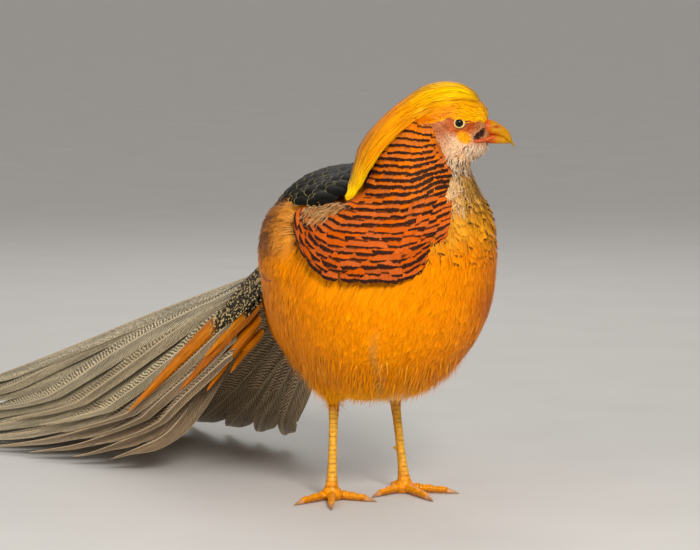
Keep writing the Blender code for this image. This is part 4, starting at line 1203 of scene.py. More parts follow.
def crest_material():
    g = Nodes("silky_crest", 0.34, Specular_IOR_Level=0.28, Specular_Tint=(1.0, 0.74, 0.08, 1.0))
    fv = g.attr("fv", "Vector")
    lines = g.noise(g.vmul(fv, (3.0, 0.05, 1.0)), 1.0, 2.0, 0.5)
    rnd = g.attr("rnd")
    tint = g.attr("tint", "Color")
    level = g.math('MULTIPLY', g.span(rnd, 0.0, 1.0, 0.58, 1.25, False), g.span(lines, 0.3, 0.7, 0.86, 1.12))
    # painted shade: darker towards each strand's root, where it lies under others
    level = g.math('MULTIPLY', level, g.span(g.attr("u"), 0.0, 0.5, 0.7, 1.0))
    g.bump(lines, 0.3, 0.0002)
    return g.colour(g.shade(tint, level))


def crest_tuck(u, v):
    """How far the crest's edges and front sink into the head, mm."""
    side = smoothstep((np.abs(2.0 * u - 1.0) - 0.66) / 0.34) * (1.0 - smoothstep((v - 0.30) / 0.22))
    return 1.9 * side + 1.3 * smoothstep((0.07 - v) / 0.07)


def make_crest():
    mat = crest_material()
    # soft body of the crest under its strands
    nu, nv = 40, 60
    uu, vv = np.meshgrid(np.linspace(0.03, 0.97, nu), np.linspace(0.015, 0.97, nv), indexing="ij")
    pos, nrm = crest_at(uu, vv)
    tuck = crest_tuck(uu, vv)
    low = pos - nrm * (1.7 + tuck)[..., None]
    inner = pos - nrm * (3.2 + tuck)[..., None]
    verts = np.concatenate((low.reshape(-1, 3), inner.reshape(-1, 3)))
    i, j = np.meshgrid(np.arange(nu - 1), np.arange(nv - 1), indexing="ij")
    a = (i * nv + j).ravel()
    cell = np.stack((a, a + 1, a + nv + 1, a + nv), 1)
    m = nu * nv
    quads = [cell, (m + cell)[:, ::-1]]
    rim = [(0, c) for c in range(nv)] + [(r, nv - 1) for r in range(1, nu)] \
        + [(nu - 1, c) for c in range(nv - 2, -1, -1)] + [(r, 0) for r in range(nu - 2, 0, -1)]
    ring = np.array([r * nv + c for r, c in rim])
    nxt = np.roll(ring, -1)
    quads.append(np.stack((ring, ring + m, nxt + m, nxt), 1))
    tint = mix(srgb(222, 138, 4), srgb(240, 170, 6), np.tile(smoothstep(vv.ravel()), 2))
    att = {"tint": tint, "u": np.full(2 * m, 0.6), "rnd": np.full(2 * m, 0.35),
           "fv": np.stack((np.tile((uu * 60.0).ravel(), 2), np.tile((vv * 120.0).ravel(), 2),
                           np.zeros(2 * m)), 1)}
    uvb = np.stack((np.tile(uu.ravel(), 2) * 0.48 + np.repeat((0.0, 0.5), m), np.tile(vv.ravel(), 2) * 0.98), 1)
    base = build("crest_body", verts, np.concatenate(quads), mat, attrs=att, uv=uvb)
    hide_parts("crest")
    # strands
    n = 9000
    v0 = rng.random(n) ** 0.9 * 0.94 - 0.03
    u0 = rng.random(n)
    total = 138.0
    ln = rng.uniform(26.0, 46.0, n) / total
    v1 = np.minimum(v0 + ln, 0.998 - 0.03 * np.abs(2 * u0 - 1.0) + rng.uniform(-0.03, 0.0, n))
    v0 = np.minimum(v0, v1 - 0.10)
    k = 9
    t = np.linspace(0, 1, k)
    vv = v0[:, None] + (v1 - v0)[:, None] * t
    drift = rng.normal(0.0, 0.016, n)
    wave = rng.normal(0.0, 0.006, n)[:, None] * np.sin(t * 5.0)[None]
    uu = np.clip(u0[:, None] + drift[:, None] * t[None] + wave, 0.004, 0.996)
    pos, nrm = crest_at(uu, np.maximum(vv, 0.0))
    level = rng.uniform(-1.7, 0.25, n)
    off = -2.2 * (1.0 - t[None]) ** 2 + (level[:, None]) * (1.0 - 0.3 * t[None]) - 0.1
    stray = (rng.random(n) < 0.05)[:, None] * (t[None] ** 2) * 1.2
    pos = pos + nrm * (off + stray - crest_tuck(uu, vv))[..., None]
    half = rng.uniform(0.28, 0.52, n)[:, None] * np.interp(t, (0, 0.2, 0.75, 1.0), (0.6, 1.0, 0.85, 0.15))[None]
    vtx, q, a = vanes(pos, nrm, half, 2, 0.0)
    edge = np.abs(2.0 * uu.mean(1) - 1.0)
    vm = vv.mean(1)
    tint = mix(srgb(255, 196, 4), srgb(250, 160, 4), smoothstep((vm - 0.12) / 0.3) * (1 - smoothstep((vm - 0.6) / 0.2)))
    tint = mix(tint, srgb(238, 140, 8), smoothstep((edge - 0.55) / 0.4) * (1.0 - smoothstep((vm - 0.5) / 0.3)) * 0.7)
    tint = mix(tint, srgb(255, 205, 10), smoothstep((vm - 0.62) / 0.25))
    dark = rng.random(n) < 0.08
    tint = np.where(dark[:, None], tint * 0.5, tint)
    a["tint"] = spread(tint, k, 2)
    ruv = np.stack((np.clip(u0, 0, 1) * 0.98 + 0.01, np.clip(vm, 0, 1) * 0.98 + 0.01), 1)
    uv = patch_uv(ruv, a, k, 2, 0.003)
    build("crest_strands", vtx, q, mat, attrs=a, uv=uv)


make_crest()


# ------------------------------------------------------------------- mantle
def mantle_material():
    g = Nodes("black_mantle", 0.5, Specular_IOR_Level=0.05, Specular_Tint=(1.0, 0.88, 0.66, 1.0))
    fv = g.attr("fv", "Vector")
    barb = g.noise(g.vmul(fv, (2.8, 0.15, 1.0)), 1.0, 3.0, 0.6)
    e = g.math('ADD', g.attr("edge"), g.math('MULTIPLY', g.math('SUBTRACT', barb, 0.5), 0.5))
    rim = g.math('SUBTRACT', 1.0, g.span(e, 0.25, 0.55))
    rim = g.math('MULTIPLY', rim, g.math('MULTIPLY', g.span(g.attr("u"), 0.55, 0.75), g.attr("fringe")))
    dark = g.blend(g.span(g.attr("tip"), 0.0, 9.0), srgb(18, 15, 10), srgb(12, 11, 8))
    dark = g.shade(dark, g.span(barb, 0.3, 0.7, 0.6, 1.5))
    g.bump(barb, 0.5, 0.0004)
    return g.colour(g.blend(rim, dark, srgb(150, 138, 88)))


BACK = Surface(remeshed(joined_mesh(("trunk", "neck", "cape", "rump")), 0.0024, 12))


def make_mantle():
    """Black feathers over the upper back, from behind the cape to the golden back."""
    roots, fringe = [], []
    for r in range(13):
        y = -66.0 + 7.4 * r
        count = 21
        for c in range(count):
            a = -78.0 + 156.0 * (c + (0.5 if r % 2 else 0.0)) / count + rng.normal(0.0, 1.2)
            ya = y + 10.0 * abs(a / 78.0) ** 2 + rng.normal(0.0, 1.0)
            ang = math.radians(90.0 - a * (0.78 + 0.0 * r))
            if ya > 18.0 or (a < 0 and ya < -62.0 + 20.0 * 0):
                continue
            org = np.array((0.0, ya, 205.0))
            d = np.array((math.cos(ang), 0.0, math.sin(ang)))
            hit = BACK.tree.ray_cast(tuple(org + d * 140.0), tuple(-d), 140.0)[0]
            if hit is None:
                continue
            roots.append(hit)
            fringe.append(0.35 + 0.65 * smoothstep((abs(a) - 20.0) / 30.0))
    p = np.array([tuple(h) for h in roots])
    fr = np.array(fringe)
    keep = p[:, 2] > 233.0
    p, fr = p[keep], fr[keep]

    def lie(q):
        d = np.stack((0.10 * np.sign(q[:, 0]) * np.ones(len(q)), np.ones(len(q)), -0.25 * np.ones(len(q))), 1)
        return unit(d)
    ln = rng.uniform(20.0, 24.0, len(p))
    k, cols = 10, 7
    c, nn, _ = drape(BACK, p, lie, ln, k - 1, 0.06)
    t = np.linspace(0, 1, k)
    off = -1.2 * (1 - t) ** 1.2 + 0.9 * t
    c = c + nn * (off[None] + rng.uniform(-0.2, 0.3, len(p))[:, None])[..., None]
    prof = np.interp(t, (0, 0.3, 0.7, 0.88, 0.96, 1.0), (0.5, 0.85, 1.0, 0.8, 0.5, 0.16))
    half = rng.uniform(6.0, 7.0, len(p))[:, None] * prof[None]
    v, q, a = vanes(c, nn, half, cols, 0.14)
    # distance to the outline of the rounded tip
    a["edge"] = np.minimum(a["edge"], a["tip"] * 0.9 + 0.1)
    a["fringe"] = spread(fr, k, cols)
    build("mantle_feathers", v, q, mantle_material(), attrs=a, uv=atlas_uv(len(p), a, k, cols))


make_mantle()


# -------------------------------------------------------------------- wings
def wing_ray_for(side):
    def ray(u, v):
        y = -18.0 + 122.0 * u
        low = 4.0 + 10.0 * u + 20.0 * max(0.0, u - 0.6)
        high = 40.0 + 4.0 * u
        ang = math.radians(high + (low - high) * v)
        z = 172.0 - 8.0 * u
        y += 7.0 * math.sin(math.pi * v) * (u - 0.5) * 2.0
        return np.array((0.0, y, z)), np.array((side * math.cos(ang), 0.0, math.sin(ang)))
    return ray


def wing_material():
    g = Nodes("wing_feather", 0.45, Specular_IOR_Level=0.3, Specular_Tint=(1.0, 0.85, 0.6, 1.0))
    fv = g.attr("fv", "Vector")
    barb = g.noise(g.vmul(fv, (2.2, 0.12, 1.0)), 1.0, 3.0, 0.6)
    n = g.nt.nodes.new("ShaderNodeSeparateXYZ")
    g.nt.links.new(fv, n.inputs[0])
    lat = g.math('ABSOLUTE', n.outputs[0])
    q = g.math('ADD', n.outputs[1], g.math('MULTIPLY', lat, -0.9))
    q = g.math('ADD', q, g.math('MULTIPLY', g.noise(g.vmul(fv, (0.3, 0.3, 1.0)), 1.0), 4.0))
    bars = g.span(g.math('SINE', g.math('MULTIPLY', q, 0.95)), 0.1, 0.6)
    bars = g.math('MULTIPLY', bars, g.attr("barred"))
    shaft = g.math('SUBTRACT', 1.0, g.span(lat, 0.25, 0.5))
    # painted shade: darker towards each feather's root, where it lies under others
    level = g.math('MULTIPLY', g.span(barb, 0.3, 0.7, 0.8, 1.2), g.span(g.attr("u"), 0.1, 0.6, 0.75, 1.0))
    level = g.math('MULTIPLY', level, g.span(g.attr("edge"), 0.0, 0.9, 1.25, 1.0))
    base = g.shade(g.attr("tint", "Color"), level)
    base = g.blend(bars, base, g.shade(g.attr("tint", "Color"), 0.30))
    base = g.blend(g.math('MULTIPLY', shaft, 0.5), base, srgb(70, 46, 30))
    g.bump(barb, 0.5, 0.0004)
    return g.colour(base)


WING_MAT = wing_material()


def make_wing(side_name, side):
    sheet = Sheet(("wing_" + side_name,), wing_ray_for(side), 60, 40, 2, reach=150.0)
    nu, nv = 40, 26
    uu, vv = np.meshgrid(np.linspace(0.34, 0.985, nu), np.linspace(0.05, 0.90, nv), indexing="ij")
    pos, nrm = sheet.at(uu, vv)
    up, dn = pos - nrm * 1.5, pos - nrm * 2.6
    m = nu * nv
    i, j = np.meshgrid(np.arange(nu - 1), np.arange(nv - 1), indexing="ij")
    a = (i * nv + j).ravel()
    cell = np.stack((a, a + 1, a + nv + 1, a + nv), 1)
    rim = [(0, c) for c in range(nv)] + [(r, nv - 1) for r in range(1, nu)] \
        + [(nu - 1, c) for c in range(nv - 2, -1, -1)] + [(r, 0) for r in range(nu - 2, 0, -1)]
    ring = np.array([r * nv + c for r, c in rim])
    nxt = np.roll(ring, -1)
    quads = np.concatenate((cell, (m + cell)[:, ::-1], np.stack((ring, ring + m, nxt + m, nxt), 1)))
    one = np.ones(2 * m)
    att = {"tint": np.tile(srgb(110, 62, 30), (2 * m, 1)), "u": one * 0.7, "rnd": one * 0.5, "edge": one * 5.0,
           "barred": one * 0.0, "v": one * 0.5,
           "fv": np.stack((np.tile(vv.ravel() * 80, 2) + 3.0, np.tile(uu.ravel() * 120, 2), one), 1)}
    uvb = np.stack((np.tile(uu.ravel(), 2) * 0.48 + np.repeat((0.0, 0.5), m), np.tile(vv.ravel(), 2) * 0.98), 1)
    base = build("wing_base_" + side_name, np.concatenate((up.reshape(-1, 3), dn.reshape(-1, 3))), quads,
                 WING_MAT, attrs=att, uv=uvb)
    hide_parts("wing_" + side_name)
    rows = []     # u, v, length, width, tint, barred, level
    for r in range(5):                            # flight feathers, lowest first
        v = 0.93 - 0.085 * r
        rows.append((0.42 + 0.03 * r, v, 66.0, 13.0, mix(srgb(150, 104, 66), srgb(176, 120, 70), r / 4.0), 1.0, -1.1 + 0.12 * r, -0.02))
    for r in range(5):                            # blue-grey inner feathers
        v = 0.52 - 0.075 * r
        rows.append((0.40 + 0.02 * r, v, 56.0, 14.0, srgb(44, 56, 86) if r > 0 else srgb(90, 70, 66), 0.0, -0.5 + 0.1 * r, 0.0))
    for r in range(9):                            # great coverts
        v = 0.96 - 0.10 * r
        rows.append((0.30, v, 34.0, 12.0, srgb(146, 84, 44), 0.45, -0.3, -0.01))
    for r in range(11):                           # middle and small coverts
        v = 0.98 - 0.09 * r
        rows.append((0.16, v, 26.0, 10.5, srgb(158, 78, 34), 0.0, 0.0, 0.0))
    k, cols = 14, 7
    t = np.linspace(0, 1, k)
    u0 = np.array([r[0] for r in rows]) + rng.normal(0, 0.006, len(rows))
    v0 = np.array([r[1] for r in rows])
    ln = np.array([r[2] for r in rows]) / 122.0
    slope = np.array([r[7] for r in rows])
    uu = u0[:, None] + ln[:, None] * t
    vv = v0[:, None] + slope[:, None] * t
    uu = np.minimum(uu, 0.995)
    pos, nrm = sheet.at(np.maximum(uu, 0.0), np.clip(vv, 0.0, 1.0))
    pos[..., 1] += np.minimum(uu, 0.0) * 122.0
    lev = np.array([r[6] for r in rows])
    off = lev[:, None] - 0.9 * (1 - t[None]) + rng.uniform(-0.15, 0.15, len(rows))[:, None]
    pos = pos + nrm * off[..., None]
    prof = np.interp(t, (0, 0.2, 0.6, 0.86, 0.95, 1.0), (0.6, 0.9, 1.0, 0.86, 0.6, 0.2))
    half = 0.5 * np.array([r[3] for r in rows])[:, None] * prof[None]
    v, q, a = vanes(pos, nrm, half, cols, 0.10)
    tint = np.array([r[4] for r in rows]) * rng.uniform(0.88, 1.1, (len(rows), 1))
    a["tint"] = spread(tint, k, cols)
    a["barred"] = spread(np.array([r[5] for r in rows]), k, cols)
    build("wing_feathers_" + side_name, v, q, WING_MAT, attrs=a, uv=atlas_uv(len(rows), a, k, cols))


make_wing("right", -1.0)
make_wing("left", 1.0)


# body feathers that overlap the front and edges of the folded wings
SIDES = Surface(remeshed(joined_mesh(("trunk", "neck", "rump", "wing_right", "wing_left", "thigh_right",
                                      "thigh_left")), 0.0024, 7))
WINGS = Surface(joined_mesh(("wing_right", "wing_left")))


def keep_shoulder(p, n):
    x, y, z = p[:, 0], p[:, 1], p[:, 2]
    edge = 30.0 + 9.0 * np.sin(z * 0.21) + rng.normal(0.0, 5.0, len(p))
    near = np.array([WINGS.tree.find_nearest(q, 9.0)[0] is not None for q in p.tolist()])
    ok = (y > -42.0) & (np.abs(x) > 34.0) & (z > 166.0) & (z < 246.0)
    lower = (z < 190.0) & (y < 84.0)
    ang, v = cape_place(p)
    return ok & near & ((y < edge) | lower) & ~(cape_shows(ang + 4.0, v, z) & (y < -40.0))


def shoulder_colour(p):
    c = body_colour(p)
    x, y, z = p[:, 0], p[:, 1], p[:, 2]
    c = mix(c, srgb(206, 132, 44), smoothstep((z - 196.0) / 16.0) * 0.8)
    streak = 0.5 + 0.5 * np.sin(z * 0.5 + y * 0.12)
    c = mix(c, srgb(96, 48, 18), smoothstep((y + 12.0) / 16.0) * smoothstep((z - 194.0) / 14.0) * (0.45 + 0.45 * streak))
    return mix(c, srgb(222, 176, 110), blob(y, z, -38.0, 226.0, 14.0, 12.0, 0.7) * 0.8)


coat("shoulder_feathers", 9000, lambda p: np.full(len(p), 20.0), lambda p: np.full(len(p), 6.0), 5, 3, plume,
     keep_shoulder, lambda p: np.full(len(p), 0.5), cup=0.10, tint_jitter=0.07, colour=shoulder_colour,
     surf=SIDES, root_depth=2.2, sway=0.2)
coat("shoulder_barbs", 26000, lambda p: np.full(len(p), 19.0), lambda p: np.full(len(p), 0.95), 4, 2, barbs,
     keep_shoulder, lambda p: np.full(len(p), 1.1), cup=0.0, tint_jitter=0.12, colour=shoulder_colour,
     surf=SIDES, root_depth=2.0, sway=0.2, profile=(0.7, 1.0, 0.9, 0.6, 0.1))


# pale fluff in the fold between mantle and cape
def fold_fluff():
    p, n, idx = BACK.sample(60000)
    ang, v = cape_place(p)
    low = np.interp(ang, (-76.0, -70.0, -64.0, -59.0, -55.0), (234.0, 230.0, 226.0, 229.0, 238.0))
    ok = (ang < -52.0) & (ang > -76.0) & (p[:, 2] > low + 3.0) & (p[:, 2] < 245.0) & (p[:, 1] < -20.0)
    p, n = p[ok][:900], n[ok][:900]
    k = 6

    def lie(q):
        return unit(np.stack((-0.5 * np.ones(len(q)), 0.25 * np.ones(len(q)), -1.0 * np.ones(len(q))), 1)
                    + rng.normal(0.0, 0.35, q.shape))
    ln = rng.uniform(6.0, 11.0, len(p))
    c, nn, _ = drape(BACK, p, lie, ln, k - 1, 0.3)
    first = OUTER.nearest(p)[2]
    t = np.linspace(0, 1, k)
    c = c + nn * (-1.8 * (1 - t) + 0.5 * t)[None, :, None]
    half = rng.uniform(0.35, 0.8, len(p))[:, None] * np.array((0.7, 1.0, 1.0, 0.8, 0.5, 0.1))[None]
    v, q, a = vanes(c, nn, half, 2, 0.0)
    mixr = rng.random(len(p))[:, None]
    tint = np.where(mixr < 0.6, srgb(196, 150, 100), np.where(mixr < 0.85, srgb(190, 120, 50), srgb(104, 66, 40)))
    a["tint"] = np.clip(spread(tint * rng.uniform(0.85, 1.1, (len(p), 1)), k, 2), 0, 1)
    build("fold_fluff", v, q, fluff, attrs=a, uv=patch_uv(root_uv(first), a, k, 2, 0.003))


fold_fluff()


# --------------------------------------------------------------------- tail
RIDGE_HEIGHT, RIDGE_SLOPE = 163.0, 0.320
ROOF_ANGLE, ROOF_ARC, FLOOR_FILLET = math.radians(74.0), 54.0, 42.0
PITCH = 1.45
RECTRIX_LENGTH = (700.0, 640.0, 560.0, 470.0, 385.0, 310.0, 250.0, 205.0, 170.0)
RECTRIX_ANGLE = (1.2, 4.2, 8.2, 12.5, 17.0, 22.0, 28.0, 34.5, 42.0)
RECTRIX_HALF = (23.0, 22.0, 21.0, 20.0, 19.0, 18.5, 18.0, 17.0, 16.0)
LAYER = {}
for _i in range(9, 3, -1):
    LAYER[("right", _i)] = LAYER[("left", _i)] = 9 - _i
for _k, _key in enumerate((("right", 3), ("left", 3), ("right", 2), ("left", 2), ("left", 1), ("right", 1))):
    LAYER[_key] = 6 + _k


def tail_grid(s, w, k):
    """Smooth roof of the tail: places and normals for axial places s and arc
    widths w (positive to the bird's right), in layer k."""
    q = RIDGE_HEIGHT - RIDGE_SLOPE * s
    h = 0.5 * (q + np.sqrt(q * q + 225.0))
    aw = np.abs(w)
    steps = 70
    dw = aw / steps
    x, z = np.zeros_like(s), h.copy()
    psi = np.zeros_like(s)
    for i in range(steps):
        at = (i + 0.5) * dw
        psi = ROOF_ANGLE * np.minimum(1.0, at / ROOF_ARC) * np.minimum(1.0, np.maximum(z - 0.2, 0.0) / FLOOR_FILLET)
        x += np.cos(psi) * dw
        z -= np.sin(psi) * dw
    tips = np.zeros(12)
    for (side, i), lay in LAYER.items():
        tips[lay] = RECTRIX_LENGTH[i - 1] * math.cos(math.radians(RECTRIX_ANGLE[i - 1]))
    under = sum((1.0 - smoothstep((s - tips[j] - 8.0) / 110.0)) for j in range(k)) if k else np.zeros_like(s)
    off = PITCH * under + 0.25
    x = x + np.sin(psi) * off
    z = z + np.cos(psi) * off
    sign = np.where(w >= 0, 1.0, -1.0)
    p = TAIL_ROOT + TAIL_DIR * s[..., None] - TAIL_LAT * (sign * x)[..., None]
    p[..., 2] = z
    n = -TAIL_LAT * (sign * np.sin(psi))[..., None] + UP * np.cos(psi)[..., None]
    return p, n


def vane_half(i, s, length):
    t = s / length
    h = RECTRIX_HALF[i - 1]
    grow = 0.16 + 0.84 * smoothstep(t * RECTRIX_LENGTH[i - 1] / 85.0)
    if i <= 3:
        taper = 1.0 - 0.62 * smoothstep((t - 0.25) / 0.75) - 0.30 * smoothstep((t - 0.86) / 0.14)
    else:
        taper = 1.0 - 0.25 * smoothstep((t - 0.3) / 0.6) - 0.62 * smoothstep((t - 0.72) / 0.28)
    end = np.sqrt(np.clip((1.0 - t) / 0.03, 0.0, 1.0))
    return np.maximum(h * grow * taper * (0.25 + 0.75 * end), 0.5)


def tail_material():
    g = Nodes("tail_feather", 0.52, Specular_IOR_Level=0.3, Specular_Tint=(1.0, 0.92, 0.8, 1.0))
    fv = g.attr("fv", "Vector")
    sep = g.nt.nodes.new("ShaderNodeSeparateXYZ")
    g.nt.links.new(fv, sep.inputs[0])
    lat, along = g.math('ABSOLUTE', sep.outputs[0]), sep.outputs[1]
    q = g.math('SUBTRACT', along, g.math('MULTIPLY', lat, 1.15))      # along the barbs
    comb = g.nt.nodes.new("ShaderNodeCombineXYZ")
    g.put(comb.inputs[0], lat)
    g.put(comb.inputs[1], q)
    g.put(comb.inputs[2], sep.outputs[2])
    barbv = comb.outputs[0]
    barb = g.noise(g.vmul(barbv, (0.15, 2.4, 1.0)), 1.0, 3.0, 0.6)
    warp = g.noise(g.vmul(fv, (0.22, 0.16, 1.0)), 1.0, 1.0, 0.5)
    fine = g.noise(g.vmul(barbv, (0.45, 0.36, 1.0)), 1.0, 1.0, 0.5)
    # wavy bars across the barbs, broken into worm-like marks
    phase = g.math('ADD', g.math('MULTIPLY', q, 1.75), g.math('MULTIPLY', warp, 9.0))
    phase = g.math('ADD', phase, g.math('MULTIPLY', fine, 1.6))
    wave = g.math('SINE', phase)
    worm = g.span(wave, -0.5, 0.15)
    spots = g.span(g.noise(g.vmul(fv, (0.55, 0.50, 1.0)), 1.0, 1.0, 0.5), 0.45, 0.55)
    marks = g.blend(g.attr("net"), worm, spots)
    marks = g.math('MULTIPLY', marks, g.span(lat, 0.4, 1.1, 0.3, 1.0))
    pale = g.attr("tint", "Color")
    sweep = g.noise(g.vmul(fv, (0.16, 0.012, 1.0)), 1.0, 2.0, 0.5)
    level = g.math('MULTIPLY', g.span(barb, 0.3, 0.7, 0.82, 1.14), g.span(sweep, 0.32, 0.66, 0.66, 1.12))
    base = g.shade(pale, level)
    col = g.blend(g.math('MULTIPLY', marks, 0.9), base, g.shade(g.attr("mark", "Color"), level))
    rim = g.math('SUBTRACT', 1.0, g.span(g.attr("edge"), 0.2, 0.7))
    col = g.blend(g.math('MULTIPLY', rim, 0.5), col, srgb(214, 194, 156))
    shaft = g.math('SUBTRACT', 1.0, g.span(lat, 0.4, 0.8))
    col = g.blend(g.math('MULTIPLY', shaft, 0.8), col, srgb(214, 192, 156))
    g.bump(barb, 0.7, 0.0005)
    return g.colour(col)


def make_tail():
    mat = tail_material()
    shaft_mat = Nodes("tail_shaft", 0.3, Specular_IOR_Level=0.5)
    grain = shaft_mat.noise(shaft_mat.vmul(shaft_mat.place(), (300.0, 300.0, 300.0)), 1.0, 2.0)
    shaft_mat.bump(grain, 0.2, 0.0002)
    shaft_mat = shaft_mat.colour(shaft_mat.blend(grain, srgb(234, 216, 182), srgb(176, 146, 108)))
    sv, sq, count = [], [], 0
    for side in ("right", "left"):
        sign = 1.0 if side == "right" else -1.0
        for i in range(1, 10):
            node = "rectrix_%s_%d" % (side, i)
            ang = math.radians(RECTRIX_ANGLE[i - 1])
            tip = RECTRIX_LENGTH[i - 1] * math.cos(ang)
            k, cols = int(26 + tip / 4.5), 11
            s1 = 0.5 + (tip - 0.5) * np.linspace(0, 1, k) ** 0.97
            half = vane_half(i, s1, tip) / math.cos(ang)
            mid = 4.0 + 5.6 * (i - 1) + s1 * math.tan(ang)
            cs = np.linspace(-1, 1, cols)
            # small splits where barbs have parted
            frag = np.ones((k, cols))
            for _ in range(1 if i > 3 else 2):
                at = int(rng.integers(8, k - 4))
                side_c = rng.integers(0, 2)
                depth = rng.uniform(0.06, 0.14)
                col = 0 if side_c else cols - 1
                frag[at, col] -= depth
                frag[at, 1 if side_c else cols - 2] -= depth * 0.3
            wob = 0.012 * np.sin(s1 * 0.09 + i) + 0.010 * np.sin(s1 * 0.31 + 2.0 * i)
            ww = mid[:, None] + half[:, None] * cs[None] * frag * (1.0 + wob[:, None])
            ss = np.repeat(s1[:, None], cols, 1) + np.abs(cs)[None] ** 1.5 * -1.0 * 0.30 * half[:, None] \
                * smoothstep(s1 / tip * 6.0)[:, None]
            ss = np.maximum(ss, 0.2)
            lay = LAYER[(side, i)]
            p, n = tail_grid(ss, sign * ww, lay)
            # follow the solid where it was raised over the feathers beneath
            tree = Surface(joined_mesh((node,))).tree
            lift = np.full((k, cols), np.nan)
            for r in range(0, k, 3):
                for c in range(0, cols, 2):
                    org, d = p[r, c] + n[r, c] * 12.0, -n[r, c]
                    hit = tree.ray_cast(tuple(org), tuple(d), 18.0)[0]
                    if hit is not None:
                        lift[r, c] = float((np.array(hit) - p[r, c]) @ n[r, c])
            got = ~np.isnan(lift)
            if got.any():
                rows = np.arange(k)
                have = np.array([np.nanmean(lift[r]) if got[r].any() else np.nan for r in rows])
                good = ~np.isnan(have)
                line = np.interp(rows, rows[good], have[good])
                ker = np.ones(7) / 7.0
                line = np.convolve(np.pad(line, 3, mode="edge"), ker, "valid")
            else:
                line = np.full(k, 0.6)
            crown = 0.95 * (1.0 - cs ** 2)[None] * smoothstep(half / 8.0)[:, None]
            p = p + n * (line[:, None] - 0.55 + crown)[..., None]
            p[..., 2] = np.maximum(p[..., 2], 0.35)
            m = k * cols
            r_, q_ = np.meshgrid(np.arange(k - 1), np.arange(cols - 1), indexing="ij")
            a0 = (r_ * cols + q_).ravel()
            quads = np.stack((a0, a0 + 1, a0 + cols + 1, a0 + cols), 1)
            lateral = half[:, None] * cs[None]
            inner = sign * cs                       # -1 on the inner vane
            grey, brown = srgb(224, 208, 172), srgb(184, 156, 122)
            low = smoothstep((i - 4.2) / 2.5)
            tint = mix(grey, brown, low * np.ones(m))
            # painted light: the left half of the tail, which lies in shadow under the body, gets a paler tint and paler
            # marks than the right half
            if side == "left":
                tint = mix(tint, srgb(236, 214, 178), 0.8 * np.ones(m))
            mark = mix(srgb(76, 58, 36), srgb(66, 48, 30), low * np.ones(m))
            if side == "left":
                mark = np.tile(srgb(112, 86, 60), (m, 1))
            edge = np.minimum(half[:, None] * (1 - np.abs(cs))[None], (tip - ss)).ravel()
            att = {"fv": np.stack((lateral.ravel(), ss.ravel(), np.full(m, 13.0 * i + 5.0 * sign)), 1),
                   "tint": tint * rng.uniform(0.92, 1.08), "mark": mark, "edge": edge,
                   "net": np.full(m, {1: 0.7, 2: 0.3, 3: 0.15}.get(i, 0.05))}
            uv = np.stack((0.02 + 0.96 * (np.tile(cs, k) * 0.5 + 0.5), 0.02 + 0.96 * np.repeat(s1 / tip, cols)), 1)
            ob = build("tail_%s_%d" % (side, i), p.reshape(-1, 3), quads, mat, attrs=att, uv=uv)
            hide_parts(node)
            # shaft
            mid_c = cols // 2
            path = p[:, mid_c] + n[:, mid_c] * 0.25
            rad = np.interp(s1 / tip, (0, 0.5, 1.0), (1.5, 0.8, 0.25)) * (0.6 + 0.4 * half.max() / 23.0)
            tv, tq = tube(path[::2], rad[::2], 5, np.full(len(rad[::2]), 0.7))
            sv.append(tv)
            sq.append(tq + count)
            count += len(tv)
    verts = np.concatenate(sv)
    verts[:, 2] = np.maximum(verts[:, 2], 0.2)
    build("tail_shafts", verts, np.concatenate(sq), shaft_mat)


make_tail()

# long narrow feathers lying loose on the tail: start and end as (along, over the
# side), half width, share of net pattern, tint, side
LOOSE = (
    ((7.0, 9.0), (560.0, 22.0), 8.0, 0.8, srgb(224, 210, 176), 1.0),
    ((7.0, 15.0), (450.0, 46.0), 8.5, 0.3, srgb(214, 196, 158), 1.0),
    ((7.0, 22.0), (360.0, 70.0), 8.0, 0.1, srgb(226, 210, 174), 1.0),
    ((7.0, 30.0), (300.0, 92.0), 8.0, 0.2, srgb(206, 186, 148), 1.0),
    ((7.0, 40.0), (250.0, 112.0), 7.5, 0.0, srgb(230, 212, 170), 1.0),
    ((8.0, 52.0), (205.0, 132.0), 7.0, 0.0, srgb(190, 164, 128), 1.0),
    ((8.0, 66.0), (168.0, 146.0), 7.0, 0.0, srgb(176, 148, 114), 1.0),
    ((8.0, 80.0), (140.0, 160.0), 6.5, 0.0, srgb(170, 142, 108), 1.0),
    ((7.0, 10.0), (520.0, 30.0), 8.0, 0.6, srgb(220, 204, 170), -1.0),
    ((7.0, 20.0), (380.0, 66.0), 8.0, 0.2, srgb(214, 196, 158), -1.0),
    ((7.0, 32.0), (290.0, 96.0), 8.0, 0.1, srgb(206, 184, 146), -1.0),
    ((8.0, 48.0), (220.0, 128.0), 7.5, 0.0, srgb(190, 164, 128), -1.0),
)


